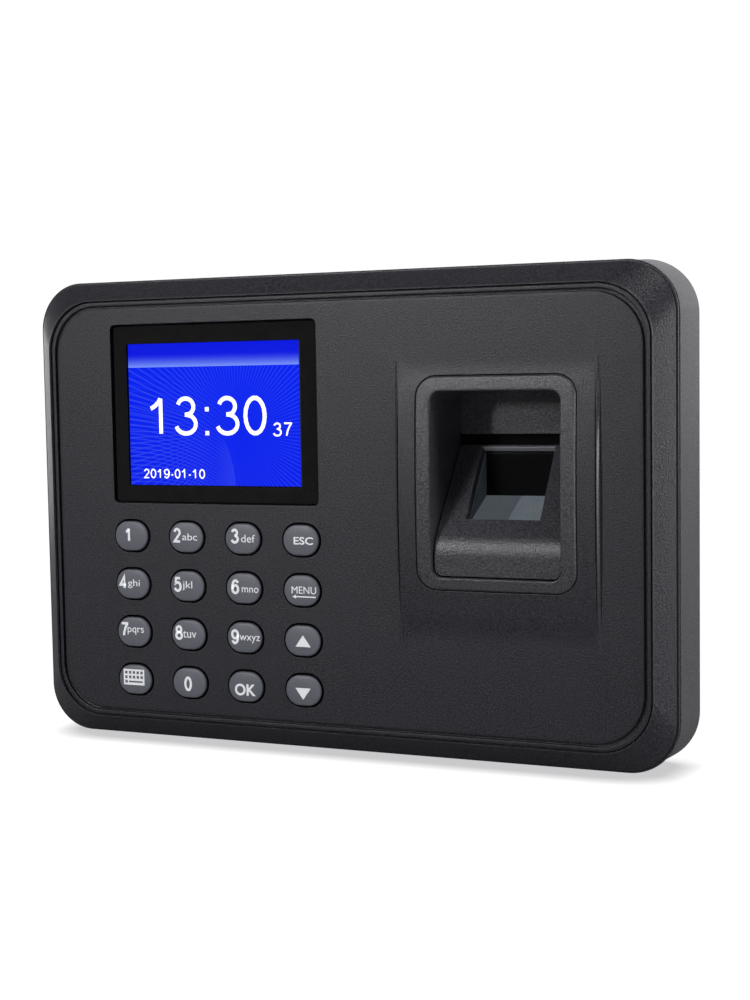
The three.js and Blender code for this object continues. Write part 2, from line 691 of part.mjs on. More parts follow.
// A pan-head screw driven from the back: head against `seat`, shaft reaching forward to `tip`.
function screwFromBack(x, z, seat, tip) {
  const head = seat + TOUCH;
  const body = turned([
    [0, tip], [SCREW.shaft * 0.6, tip], [SCREW.shaft, tip + 1], [SCREW.shaft, head],
    [SCREW.head, head], [SCREW.head, head + SCREW.headHeight * 0.6],
    [SCREW.head * 0.7, head + SCREW.headHeight], [0, head + SCREW.headHeight],
  ], x, z, 14);
  const top = head + SCREW.headHeight;
  const arm = (w, h) => box(x - w / 2, x + w / 2, z - h / 2, z + h / 2, top - 1.1, top + 1);
  return cut(body, join(arm(3, 0.7), arm(0.7, 3)));
}

const lockScrewDepth = () => PLATEAU.back - 2.7;

function wallPlate() {
  const front = PANEL_TO_WALL - WALL_PLATE.thickness;
  const sheet = block(WALL_PLATE, front, PANEL_TO_WALL, 3);
  const tabFoot = -PLATEAU.halfH - 1.8;
  const strap = box(-9, 9, tabFoot, -20, front, PANEL_TO_WALL);
  const tab = box(-9, 9, tabFoot, tabFoot + WALL_PLATE.thickness, lockScrewDepth() - 2.6, PANEL_TO_WALL);
  const hooks = [-1, 1].map((side) => {
    const x = side * HOOK.x;
    const headBack = PLATEAU.back - BACK_SHELL.wall - GAP;
    return join(
      box(x - HOOK.halfW, x + HOOK.halfW, HOOK.z, HOOK.z + HOOK.thickness, headBack - HOOK.thickness, front + 0.5),
      box(x - HOOK.halfW, x + HOOK.halfW, HOOK.z, HOOK.z + HOOK.height, headBack - HOOK.thickness, headBack),
    );
  });
  const screwHoles = [[-38, 24], [38, 24], [-38, -24], [38, -24]].map(([x, z]) => block(
    obround(2.3, 4.5, x, z), front - 1, PANEL_TO_WALL + 1, 4,
  ));
  const cableHole = block({ x: 0, z: 22, halfW: 10, halfH: 6, corner: 5 }, front - 1, PANEL_TO_WALL + 1, 4);
  const lockHole = new THREE.CylinderGeometry(SCREW.hole, SCREW.hole, 14, 12)
    .applyMatrix4(new THREE.Matrix4().makeRotationX(Math.PI / 2))
    .translate(0, yAt(lockScrewDepth()), tabFoot);
  return cut(join(sheet, strap, tab, ...hooks), ...screwHoles, cableHole, lockHole);
}

// The locking screw stands upright under the terminal and stops it lifting off the hooks.
function lockScrew() {
  const under = -PLATEAU.halfH - 1.8 - TOUCH;
  const profile = [
    [0, under - 2], [1.8, under - 2], [2.6, under - 1], [2.6, under], [SCREW.shaft, under],
    [SCREW.shaft, under + 8.5], [0, under + 9.5],
  ].map(([radius, z]) => new THREE.Vector2(radius, z));
  const body = new THREE.LatheGeometry(profile, 14)
    .applyMatrix4(new THREE.Matrix4().makeRotationX(Math.PI / 2))
    .translate(0, yAt(lockScrewDepth()), 0);
  const slot = new THREE.BoxGeometry(6, 0.8, 1.6).translate(0, yAt(lockScrewDepth()), under - 2);
  return cut(body, slot);
}

// ---------------------------------------------------------------- assembly

addPart('front_shell', frontShell(), MATERIAL.housing);
addPart('back_shell', backShell(), MATERIAL.backShell);
addPart('display_lens', displayLens(), MATERIAL.lens);
addPart('lens_gasket', lensGasket(), MATERIAL.gasket);
addPart('lcd_panel', lcdPanel(), MATERIAL.display);
addPart('lcd_backlight', backlight(), MATERIAL.whitePlastic);
addPart('display_ribbon', displayRibbon(), MATERIAL.flex);

keyCentres.forEach(({ name, x, z }) => addPart(name, keyPiece(x, z), MATERIAL.keycap));
addPart('keypad_mat', keypadMat(), MATERIAL.silicone);

addPart('scanner_bezel', scannerBezel(), MATERIAL.bezel);
addPart('finger_guide', fingerGuide(), MATERIAL.bezel);
addPart('sensor_window', sensorWindow(), MATERIAL.glass);
addPart('sensor_prism', sensorPrism(), MATERIAL.glass);
addPart('sensor_housing', sensorHousing(), MATERIAL.blackPlastic);
addPart('sensor_camera', sensorCamera(), MATERIAL.blackPlastic);
addPart('sensor_board', sensorBoard(), MATERIAL.board);
addPart('sensor_cable', sensorCable(), MATERIAL.ribbon);

addPart('main_board', mainBoard(), MATERIAL.board);
addPart('processor_chip', onBoard(-30, 5, 14, 14, 1.4), MATERIAL.chip);
addPart('memory_chip', onBoard(-52, 6, 9, 6, 1.2), MATERIAL.chip);
addPart('sensor_connector', onBoard(4.4, 0, 8.6, 11, 5), MATERIAL.connector);
addPart('battery_holder', batteryHolder(), MATERIAL.blackPlastic);
addPart('clock_battery', clockBattery(), MATERIAL.steel);
addPart('speaker', speaker(), MATERIAL.blackPlastic);
addPart('usb_port', usbPort(), MATERIAL.steel);
addPart('power_jack', powerJack(), MATERIAL.blackPlastic);

boardPosts.forEach(([x, z], i) => {
  addPart(`board_screw_${i + 1}`, screwFromBack(x, z, boardBackDepth, BOARD.front - 3.8), MATERIAL.screw);
});
bossCentres.forEach(([x, z], i) => {
  addPart(`case_screw_${i + 1}`, screwFromBack(x, z, BOSS.meet + 2.4, 5), MATERIAL.screw);
});
addPart('wall_plate', wallPlate(), MATERIAL.steel);
addPart('lock_screw', lockScrew(), MATERIAL.screw);

export default terminal;
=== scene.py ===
import json
import math

import bmesh
import bpy
from mathutils import Matrix, Vector, geometry


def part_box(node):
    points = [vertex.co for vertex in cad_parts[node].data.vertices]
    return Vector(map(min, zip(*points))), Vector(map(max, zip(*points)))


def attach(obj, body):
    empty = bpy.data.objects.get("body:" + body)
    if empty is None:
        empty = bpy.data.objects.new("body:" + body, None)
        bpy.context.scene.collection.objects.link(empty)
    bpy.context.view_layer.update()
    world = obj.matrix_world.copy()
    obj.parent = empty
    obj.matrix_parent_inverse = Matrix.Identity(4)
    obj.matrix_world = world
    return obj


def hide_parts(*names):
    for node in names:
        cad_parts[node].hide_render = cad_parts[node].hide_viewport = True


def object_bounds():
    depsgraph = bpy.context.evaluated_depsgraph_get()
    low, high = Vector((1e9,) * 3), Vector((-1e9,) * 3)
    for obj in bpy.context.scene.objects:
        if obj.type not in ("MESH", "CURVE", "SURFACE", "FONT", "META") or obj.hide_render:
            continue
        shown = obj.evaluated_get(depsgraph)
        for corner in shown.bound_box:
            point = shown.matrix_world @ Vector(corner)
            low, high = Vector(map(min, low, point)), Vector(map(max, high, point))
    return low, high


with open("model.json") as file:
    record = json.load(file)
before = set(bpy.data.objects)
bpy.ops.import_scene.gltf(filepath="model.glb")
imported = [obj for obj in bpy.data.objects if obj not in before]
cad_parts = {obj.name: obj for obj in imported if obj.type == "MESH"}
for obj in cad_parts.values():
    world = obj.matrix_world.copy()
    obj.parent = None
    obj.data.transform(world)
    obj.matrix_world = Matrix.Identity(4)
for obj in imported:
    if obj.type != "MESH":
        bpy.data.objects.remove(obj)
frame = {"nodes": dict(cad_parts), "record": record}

cad_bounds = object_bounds()

# Shapes below are worked out in millimetres. X runs right, Z up, and "depth" runs from the
# flat front panel towards the wall, so a raised face has a negative depth.
MM = 0.001
PANEL_TO_WALL = 30.0
SHELL_WALL = 2.2

# Edge of the front shell, from its inner face, round the rim and over the crest and groove,
# to the flat panel: (inset from the widest outline, depth, corner radius, rounding).
FRAME_PROFILE = [
    (6.9, 2.2, 9.0, 0),
    (3.3, 3.2, 9.3, 0.2),
    (3.3, 4.65, 9.3, 0.1),
    (0.9, 4.65, 11.2, 0.2),
    (0.0, 4.2, 12.0, 0.1),
    (0.13, 3.92, 12.0, 0.04),
    (0.2, 4.12, 12.0, 0.03),
    (0.55, 4.08, 12.0, 0.03),
    (0.6, 3.54, 12.0, 0.05),
    (4.75, -0.34, 13.0, 0.1),
    (4.99, -0.64, 13.0, 0.05),
    (5.1, -0.64, 13.0, 0.04),
    (5.22, 0.5, 12.6, 0.1),
    (5.5, 0.5, 12.5, 0.1),
    (5.53, 0.0, 12.4, 0.12),
    (6.4, 0.0, 12.0, 0.15),
    (6.47, 0.9, 12.0, 0.15),
    (7.12, 0.9, 12.0, 0.15),
    (7.2, 0.0, 12.0, 0.16),
    (8.0, 0.0, 11.8, 0),
]
# Side of the raised pad: (distance in from its foot, share of the pad's height, rounding).
PAD_SIDE_PROFILE = [
    (0.0, 0.0, 0),
    (0.02, 0.56, 0.08),
    (0.5, 0.97, 0.08),
    (0.58, 0.97, 0.03),
    (0.62, 0.7, 0.05),
    (0.86, 0.7, 0.05),
    (0.9, 1.0, 0.1),
    (1.6, 1.0, 0),
]
PAD_RISE = 1.6
PAD_CENTRE_Z = 3.6
PAD_HALF_HEIGHT = 33.9
PAD_HALF_WIDTH = 25.1
PAD_BLEND = 7.0
# The scanner ring: its hidden flange, front corners, and widths at its sides and ends.
RING_FLANGE = 2.8
RING_CORNER = 5.0
RING_PROUD = 0.5
RING_SIDE = 3.6
RING_END = 3.2
RAMP_ANGLE = math.radians(37.8)
RAMP_FOOT = (4.2, -0.75)
RECESS_MOUTH = -4.0
RECESS_BACK = 18.5
RECESS_DROP = 0.3
RECESS_TAPER = 0.7
RECESS_CORNER = 2.5
WINDOW_LENGTH = 21.2
WINDOW_HALF_WIDTH = 9.3
WINDOW_GAP = 0.2
SCREW_BORE = 1.7
CASE_BOSS_RADIUS = 3.5
CASE_BOSS_END = 11.6
BOARD_POST_RADIUS = 3.0
KEY_FLANGE = 1.2
KEY_ROUNDNESS = 0.98
KEY_SLACK = 0.5
LENS_PRINT_SHIFT = 0.25
LCD_WIDTH = 49.8
LCD_HEIGHT = 36.3

# Back shell, from the front edge round to the flat back: (inset from the widest outline, depth,
# corner, rounding). A shadow gap runs behind the front shell's edge.
BACK_PROFILE = [
    (2.3, 4.85, 10.8, 0),
    (2.25, 6.4, 10.8, 0.1),
    (1.2, 6.6, 12.0, 0.25),
    (0.05, 21.6, 13.0, 0.4),
    (0.3, 22.4, 12.8, 0.3),
    (8.2, 22.4, 10.0, 0.5),
    (9.1, 28.2, 9.2, 0.7),
    (11.0, 28.2, 8.0, 0),
]
# Its hollow: (inset from the widest outline, depth, corner).
CAVITY_PROFILE = [
    (4.6, 4.0, 8.5),
    (4.6, 6.4, 8.5),
    (3.5, 8.5, 9.6),
    (2.4, 20.2, 11.0),
    (10.4, 20.2, 7.8),
    (11.4, 26.0, 7.0),
]
# Screw towers, with a well behind each for the screw's head.
WELL_RADIUS = 3.3
TOWER_RADIUS = 4.6
TOWER_FRONT = 11.9
# The back wall lies between these depths, and the cuts in it run right through.
BACK_INSIDE = 25
BACK_OUTSIDE = 29
SPEAKER_HOLE = 1.1
SPEAKER_RING = 5.0
HOOK_SPACING = 60
HOOK_SLOT = (9.6, 9.0)
HOOK_SLOT_FOOT = 3.0
PORT_GAP = 0.3
UNDERSIDE = (-65, -50)
LOCK_BORE = (-57, -44)

CORNER_STEPS = 20
# Steps of the ring's and the pad's loops: in each corner, and along each straight side.
RING_STEPS = 8
RING_SIDE_STEPS = 16


# ---------------------------------------------------------------- outlines and mesh building

def between(start, end, share):
    """The point at a share of the way from start to end."""
    return tuple(a + (b - a) * share for a, b in zip(start, end))


class Outline:
    """A rounded rectangle in the front view."""

    def __init__(self, x, z, half_w, half_h, corner):
        self.x, self.z = x, z
        self.half_w, self.half_h = half_w, half_h
        self.corner = min(corner, half_w, half_h)

    def inset(self, by, corner=None):
        corner = max(self.corner - by, 0.05) if corner is None else corner
        return Outline(self.x, self.z, self.half_w - by, self.half_h - by, corner)

    def points(self, steps=CORNER_STEPS, sides=1):
        """Points anticlockwise from the right side's top; each straight side has `sides` steps."""
        corners = []
        for quarter, (sx, sz) in enumerate([(1, 1), (-1, 1), (-1, -1), (1, -1)]):
            centre_x = self.x + sx * (self.half_w - self.corner)
            centre_z = self.z + sz * (self.half_h - self.corner)
            angles = [(quarter + i / steps) * math.pi / 2 for i in range(steps + 1)]
            corners.append([(centre_x + self.corner * math.cos(angle),
                             centre_z + self.corner * math.sin(angle)) for angle in angles])
        found = []
        for corner, following in zip(corners, corners[1:] + corners[:1]):
            start, end = corner[-1], following[0]
            found += corner + [between(start, end, i / sides) for i in range(1, sides)]
        return found

    def contains(self, x, z):
        over_x = abs(x - self.x) - (self.half_w - self.corner)
        over_z = abs(z - self.z) - (self.half_h - self.corner)
        outside = math.hypot(max(over_x, 0), max(over_z, 0)) + min(max(over_x, over_z), 0)
        return outside < self.corner


def circle(x, z, radius):
    """A round outline."""
    return Outline(x, z, radius, radius, radius)


def rim_of(outline, steps, sides=1):
    """A hole for Builder.sheet: the points round its rim, and its outline."""
    return outline.points(steps, sides), outline


def node_outline(name, corner):
    """The front outline of a CAD node's box."""
    low, high = (corner_point / MM for corner_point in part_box(name))
    centre = (low + high) / 2
    half = (high - low) / 2
    return Outline(centre.x, centre.z, half.x, half.z, corner)


def node_depths(name):
    """The depths of a CAD node's front and back."""
    low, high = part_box(name)
    return low.y / MM + PANEL_TO_WALL, high.y / MM + PANEL_TO_WALL


def softened(profile, steps=4):
    """A profile with its corners rounded; each point ends with how far its curve reaches."""
    smooth = [Vector(profile[0][:-1])]
    for before, corner, after in zip(profile, profile[1:], profile[2:]):
        point = Vector(corner[:-1])
        if not corner[-1]:
            smooth.append(point)
            continue
        back, ahead = Vector(before[:-1]) - point, Vector(after[:-1]) - point
        start = point + back.normalized() * min(corner[-1], back.length / 2)
        end = point + ahead.normalized() * min(corner[-1], ahead.length / 2)
        for i in range(steps + 1):
            t = i / steps
            smooth.append(start * (1 - t) ** 2 + point * (2 * t * (1 - t)) + end * t ** 2)
    smooth.append(Vector(profile[-1][:-1]))
    return smooth


def on_ramp(along, below):
    """(depth, z) of a point up the sensor ramp from the window's foot and under its surface."""
    sin, cos = math.sin(RAMP_ANGLE), math.cos(RAMP_ANGLE)
    return (RAMP_FOOT[0] + along * sin + below * cos, RAMP_FOOT[1] + along * cos - below * sin)


class Builder:
    """Collects the faces of one piece and turns them into an object."""

    def __init__(self):
        self.mesh = bmesh.new()
        self.flat = self.mesh.faces.layers.int.new("flat")
        self.slot = 0

    def vertex(self, x, z, depth):
        if callable(depth):
            depth = depth(x, z)
        return self.mesh.verts.new((x, depth - PANEL_TO_WALL, z))

    def loop(self, points, depth):
        return [self.vertex(x, z, depth) for x, z in points]

    def rings(self, sections, steps=CORNER_STEPS, sides=1):
        """Loops of vertices round pairs of outline and depth."""
        return [self.loop(outline.points(steps, sides), depth) for outline, depth in sections]

    def face(self, corners):
        made = self.mesh.faces.new(corners)
        made.material_index = self.slot
        return made

    def strip(self, first, second, closed=True):
        """Quads between two rows of the same number of vertices."""
        count = len(first)
        for i in range(count if closed else count - 1):
            j = (i + 1) % count
            self.face((first[i], first[j], second[j], second[i]))

    def stack(self, loops, cap_first=False, cap_last=False):
        for first, second in zip(loops, loops[1:]):
            self.strip(first, second)
        if cap_first:
            self.face(loops[0])
        if cap_last:
            self.face(loops[-1])

    def sheet(self, border, outline, holes, depth):
        """Flat face inside a border, less its holes, which are pairs of points and outline."""
        points, edges = [], []
        for loop in [border] + [hole for hole, _ in holes]:
            first = len(points)
            points += [Vector(point) for point in loop]
            edges += [(first + i, first + (i + 1) % len(loop)) for i in range(len(loop))]
        points, _, faces, *_ = geometry.delaunay_2d_cdt(points, edges, [], 0, 1e-5)
        vertices = self.loop([tuple(point) for point in points], depth)
        for corners in faces:
            centre = sum((points[i] for i in corners), Vector((0, 0))) / len(corners)
            if outline.contains(*centre) and not any(o.contains(*centre) for _, o in holes):
                self.face([vertices[i] for i in corners])[self.flat] = 1

    def block(self, low, high):
        """A box from corner (x, z, depth) to corner (x, z, depth)."""
        outline = [(low[0], low[1]), (high[0], low[1]), (high[0], high[1]), (low[0], high[1])]
        self.stack([self.loop(outline, low[2]), self.loop(outline, high[2])], True, True)

    def extrude(self, profile, left, right):
        """A solid with one (depth, z) profile all the way from x = left to x = right."""
        rows = [[self.vertex(x, z, depth) for depth, z in profile] for x in (left, right)]
        self.stack(rows, True, True)

    def finish(self, name, materials, body="terminal", sharp=35):
        """Cleans the mesh, marks its sharp edges and makes the object, riding on a body."""
        mesh = self.mesh
        bmesh.ops.remove_doubles(mesh, verts=mesh.verts, dist=2e-4)
        bmesh.ops.dissolve_degenerate(mesh, edges=mesh.edges, dist=1e-5)
        loose = [vertex for vertex in mesh.verts if not vertex.link_faces]
        bmesh.ops.delete(mesh, geom=loose, context="VERTS")
        bmesh.ops.recalc_face_normals(mesh, faces=mesh.faces)
        limit = math.radians(sharp)
        for face in mesh.faces:
            face.smooth = True
        for edge in mesh.edges:
            if len(edge.link_faces) == 2:
                first, second = edge.link_faces
                leaves_sheet = first[self.flat] != second[self.flat]
                edge.smooth = edge.calc_face_angle(0) < (math.radians(1) if leaves_sheet else limit)
        bmesh.ops.scale(mesh, vec=(MM, MM, MM), verts=mesh.verts)
        data = bpy.data.meshes.new(name)
        mesh.to_mesh(data)
        mesh.free()
        for material in materials:
            data.materials.append(material)
        piece = new_object(name, data)
        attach(piece, body)
        return piece


def new_object(name, data):
    """An object in the scene for a mesh, curve, lamp or camera."""
    made = bpy.data.objects.new(name, data)
    bpy.context.scene.collection.objects.link(made)
    return made


def stand_in(node):
    """Hides a CAD node, whose place a built piece takes."""
    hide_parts(node)


def add_bevel(piece, width, segments=3, angle=40):
    """Rounds a piece's edges where its faces meet at more than an angle in degrees."""
    bevel = piece.modifiers.new("rounded edges", "BEVEL")
    bevel.width = width * MM
    bevel.segments = segments
    bevel.limit_method = "ANGLE"
    bevel.angle_limit = math.radians(angle)
    bevel.harden_normals = True


# ---------------------------------------------------------------- materials

class Nodes:
    """Short names for building the nodes of a material or a world."""

    def __init__(self, name, world=False):
        self.owner = (bpy.data.worlds if world else bpy.data.materials).new(name)
        self.owner.use_nodes = True
        self.tree = self.owner.node_tree
        self.tree.nodes.clear()
        self.output = self.add("OutputWorld" if world else "OutputMaterial")

    def add(self, kind, inputs=None, **settings):
        node = self.tree.nodes.new("ShaderNode" + kind)
        for key, value in settings.items():
            setattr(node, key, value)
        for key, value in (inputs or {}).items():
            self.feed(node.inputs[key], value)
        return node

    def feed(self, socket, value):
        """Links an output to a socket, or gives the socket a plain value."""
        if isinstance(value, bpy.types.NodeSocket):
            self.tree.links.new(value, socket)
        else:
            socket.default_value = value

    def math(self, operation, *values, clamp=False):
        node = self.add("Math", dict(enumerate(values)), operation=operation, use_clamp=clamp)
        return node.outputs[0]

    def times(self, first, second, clamp=False):
        return self.math("MULTIPLY", first, second, clamp=clamp)

    def plus(self, first, second, clamp=False):
        return self.math("ADD", first, second, clamp=clamp)

    def minus(self, first, second):
        return self.math("SUBTRACT", first, second)

    def place(self):
        return self.add("TexCoord").outputs["Object"]

    def noise(self, size, detail=2.0, roughness=0.5, vector=None):
        """Noise whose lumps are about `size` millimetres across."""
        node = self.add("TexNoise", {
            "Vector": vector or self.place(), "Scale": 1 / (size * MM), "Detail": detail,
            "Roughness": roughness,
        })
        return node.outputs["Fac"]

    def between(self, value, low, high, start=0.0, end=1.0):
        node = self.add("MapRange", {
            "Value": value, "From Min": start, "From Max": end, "To Min": low, "To Max": high,
        })
        return node.outputs[0]

    def mix(self, factor, first, second):
        """Blend of two colours. These three sockets are the ones that the colour mode uses."""
        node = self.add("Mix", data_type="RGBA")
        for index, value in ((0, factor), (6, first), (7, second)):
            self.feed(node.inputs[index], value)
        return node.outputs[2]

    def patches(self, value, share, under, over, start=0.4, end=0.7):
        """Patches of a colour, up to a share of it, where a value runs from start to end."""
        return self.mix(self.between(value, 0.0, share, start, end), under, over)

    def mottled(self, value, color, dark, light, start=0.3, end=0.7):
        """A colour that runs from dark to light times its own strength with a value."""
        return self.patches(value, 1.0, scaled(color, dark), scaled(color, light), start, end)

    def bump(self, height, distance, strength=1.0, normal=None):
        inputs = {"Height": height, "Distance": distance * MM, "Strength": strength}
        if normal:
            inputs["Normal"] = normal
        return self.add("Bump", inputs).outputs[0]

    def done(self, shader):
        self.tree.links.new(shader, self.output.inputs["Surface"])
        return self.owner

    def surface(self, inputs):
        """Finishes the material as one principled surface."""
        return self.done(self.add("BsdfPrincipled", inputs).outputs[0])

    def blended(self, factor, first, second):
        """Finishes the tree as a blend of two shader nodes."""
        inputs = {0: factor, 1: first.outputs[0], 2: second.outputs[0]}
        return self.done(self.add("MixShader", inputs).outputs[0])

    def split(self, felt, seen):
        """Finishes the tree as one shader for bounced light and another for the camera."""
        return self.blended(self.add("LightPath").outputs["Is Camera Ray"], felt, seen)


def rgb(red, green, blue):
    return (red, green, blue, 1.0)


def scaled(color, by):
    """A lighter or darker colour."""
    return rgb(*(min(channel * by, 1.0) for channel in color[:3]))


def textured_plastic(name, color, roughness=0.37, grain=0.38, relief=0.07, crevice=1.2):
    """Spark-eroded moulded plastic: fine lumps, mottled gloss, glossier edges whose colour is lightened
    as a painted highlight, and painted shade in crevices.
    """
    n = Nodes(name)
    coarse = n.noise(grain, detail=1.0)
    fine = n.noise(grain * 0.3, detail=1.0)
    cloud = n.noise(18.0)
    grained = n.bump(fine, relief * 0.3, normal=n.bump(coarse, relief))
    tone = n.mottled(coarse, color, 0.35, 1.65, 0.38, 0.62)
    clouded = n.patches(cloud, 0.5, tone, scaled(color, 1.1), 0.3)
    # Painted highlight: the colour turns much lighter on rounded edges, which the bevel shader finds;
    # those edges are also glossier.
    rounded = n.add("Bevel", {"Radius": 0.3 * MM}, samples=6).outputs[0]
    plain = n.add("NewGeometry").outputs["Normal"]
    facing = n.add("VectorMath", {0: rounded, 1: plain}, operation="DOT_PRODUCT").outputs["Value"]
    edge = n.between(facing, 1.0, 0.0, 0.85, 0.98)
    painted_edge_highlight = n.mix(n.times(edge, 0.9), clouded, scaled(color, 2.4))
    # Painted shade: colour and shine darken towards black where the surface is hemmed in, in grooves,
    # seams and corners.
    openness = n.add("AmbientOcclusion", {"Distance": crevice * MM}, samples=6).outputs["AO"]
    unshaded_share = n.between(openness, 0.05, 1.0, 0.15, 0.5)
    shaded = n.mix(unshaded_share, rgb(0.001, 0.001, 0.001), painted_edge_highlight)
    matt = n.plus(n.between(cloud, -0.02, 0.02), n.between(fine, roughness - 0.05, roughness + 0.05))
    return n.surface({
        "Base Color": shaded, "Roughness": n.minus(matt, n.times(edge, 0.12)),
        "Normal": grained, "Specular IOR Level": n.times(unshaded_share, 0.5),
    })


def key_plastic(name, color):
    """Satin key cap, turned near black and dull as painted shade where its sides drop into the panel."""
    n = Nodes(name)
    depth = n.add("SeparateXYZ", {0: n.place()}).outputs[1]
    # Painted shade: below the cap's front the colour runs to near black and the shine fades, in the gap
    # round the key.
    side = n.between(depth, 0.0, 1.0, -(PANEL_TO_WALL + 0.75) * MM, -(PANEL_TO_WALL + 0.1) * MM)
    fine = n.noise(0.3)
    cloud = n.noise(7.0)
    tone = n.mottled(fine, color, 0.88, 1.12)
    clouded = n.patches(cloud, 0.6, tone, scaled(color, 1.15))
    return n.surface({
        "Base Color": n.mix(side, clouded, scaled(color, 0.08)),
        "Roughness": n.between(cloud, 0.36, 0.46), "Normal": n.bump(fine, 0.004),
        "Specular IOR Level": n.between(side, 0.5, 0.1),
    })


def smooth_plastic(name, color, roughness=0.3):
    """Moulded plastic off a polished tool, with faint ripples and handling marks."""
    n = Nodes(name)
    ripple = n.noise(3.0)
    smudge = n.noise(5.0, detail=4.0, roughness=0.7)
    speck = n.noise(0.2, detail=1.0)
    tone = n.mottled(speck, color, 0.92, 1.08)
    return n.surface({
        "Base Color": n.patches(smudge, 0.4, tone, scaled(color, 1.25)),
        "Roughness": n.between(smudge, roughness - 0.06, roughness + 0.1, 0.3, 0.7),
        "Normal": n.bump(speck, 0.002, normal=n.bump(ripple, 0.01)),
    })


def painted_glass(name, color, glow=0.0):
    """Back of a painted glass face: even, without a shine of its own; a glow, where given, is painted
    light.
    """
    n = Nodes(name)
    cloud = n.noise(4.0, detail=4.0, roughness=0.6)
    speck = n.noise(0.25)
    tone = n.mottled(speck, color, 0.9, 1.1)
    return n.surface({
        "Base Color": n.patches(cloud, 0.5, tone, scaled(color, 1.3)),
        "Roughness": n.between(cloud, 0.7, 0.9), "Normal": n.bump(speck, 0.003),
        "Specular IOR Level": 0.0, "Emission Color": tone, "Emission Strength": glow,
    })


def rubber(name, color):
    """Matt rubber or foam with a little dust."""
    n = Nodes(name)
    dust = n.noise(0.8, detail=5.0, roughness=0.7)
    fine = n.noise(0.15)
    return n.surface({
        "Base Color": n.patches(dust, 0.6, color, scaled(color, 1.6), 0.45, 0.75),
        "Roughness": n.between(dust, 0.7, 0.9), "Normal": n.bump(fine, 0.01),
        "Sheen Weight": 0.2,
    })


def plated_metal(name, color, roughness=0.32, brushed=True):
    """Plated steel: rolling marks along X, cloudy plating and scuffs."""
    n = Nodes(name)
    scale = (0.06, 1.0, 1.0) if brushed else (1.0, 1.0, 1.0)
    stretch = n.add("Mapping", {"Vector": n.place(), "Scale": scale})
    lines = n.noise(0.25, detail=3.0, vector=stretch.outputs[0])
    spangle = n.add("TexVoronoi", {"Vector": n.place(), "Scale": 1 / (2.2 * MM)}).outputs["Distance"]
    scuff = n.noise(6.0, detail=6.0, roughness=0.75)
    tone = n.mix(n.between(spangle, 0.0, 0.5), scaled(color, 0.85), scaled(color, 1.1))
    return n.surface({
        "Base Color": n.patches(scuff, 0.6, tone, scaled(color, 0.6), 0.5, 0.75),
        "Metallic": 1.0,
        "Roughness": n.plus(n.between(lines, 0.0, 0.16),
                            n.between(scuff, roughness - 0.1, roughness + 0.1)),
        "Normal": n.bump(lines, 0.006),
    })


def circuit_board(name, color):
    """Solder mask over copper tracks, with plated holes."""
    n = Nodes(name)
    tracks = n.add("TexBrick", {
        "Vector": n.add("Mapping", {"Vector": n.place(), "Rotation": (math.pi / 2, 0, 0)}).outputs[0],
        "Scale": 1 / (9 * MM), "Mortar Size": 0.03, "Mortar Smooth": 0.2,
    }).outputs["Fac"]
    vias = n.add("TexVoronoi", {"Vector": n.place(), "Scale": 1 / (3.5 * MM)}).outputs["Distance"]
    ring = n.math("LESS_THAN", vias, 0.12)
    tone = n.mix(tracks, color, scaled(color, 1.8))
    return n.surface({
        "Base Color": n.mix(ring, tone, rgb(0.6, 0.5, 0.3)), "Metallic": n.times(ring, 0.8),
        "Roughness": n.between(n.noise(2.0), 0.25, 0.4), "Normal": n.bump(tracks, 0.03),
    })


def flat_cable(name, color, pitch=1.0):
    """Ribbon with parallel conductors running across its width."""
    n = Nodes(name)
    scale = 2 / (6.28 * pitch * MM)
    wave = n.add("TexWave", {"Vector": n.place(), "Scale": scale}, bands_direction="Z").outputs["Fac"]
    return n.surface({
        "Base Color": n.mix(wave, scaled(color, 0.7), color),
        "Roughness": n.between(n.noise(1.5), 0.3, 0.5), "Normal": n.bump(wave, 0.05),
    })


def clear_sheet(name, tint, roughness, reflectance=1.5):
    """Clear polished sheet that mirrors the room only off its front; reflectance is an index."""
    n = Nodes(name)
    smear = n.noise(8.0, detail=5.0, roughness=0.7)
    shape = n.bump(n.noise(6.0), 0.004)
    through = n.add("BsdfTransparent", {"Color": tint})
    dulled = n.between(smear, roughness, roughness + 0.08)
    gloss = n.add("BsdfGlossy", {"Color": rgb(1, 1, 1), "Roughness": dulled, "Normal": shape})
    fresnel = n.add("Fresnel", {"IOR": reflectance, "Normal": shape}).outputs[0]
    from_front = n.minus(1.0, n.add("NewGeometry").outputs["Backfacing"])
    mirror = n.times(fresnel, from_front)
    return n.blended(mirror, through, gloss)


def printed_ink(name, color, glow=0.0):
    """White legend ink, slightly uneven."""
    n = Nodes(name)
    grain = n.noise(0.12)
    shade = n.mottled(grain, color, 0.85, 1.0)
    return n.surface({
        "Base Color": shade, "Roughness": n.between(grain, 0.35, 0.5), "Normal": n.bump(grain, 0.004),
        "Emission Color": shade, "Emission Strength": glow,
    })


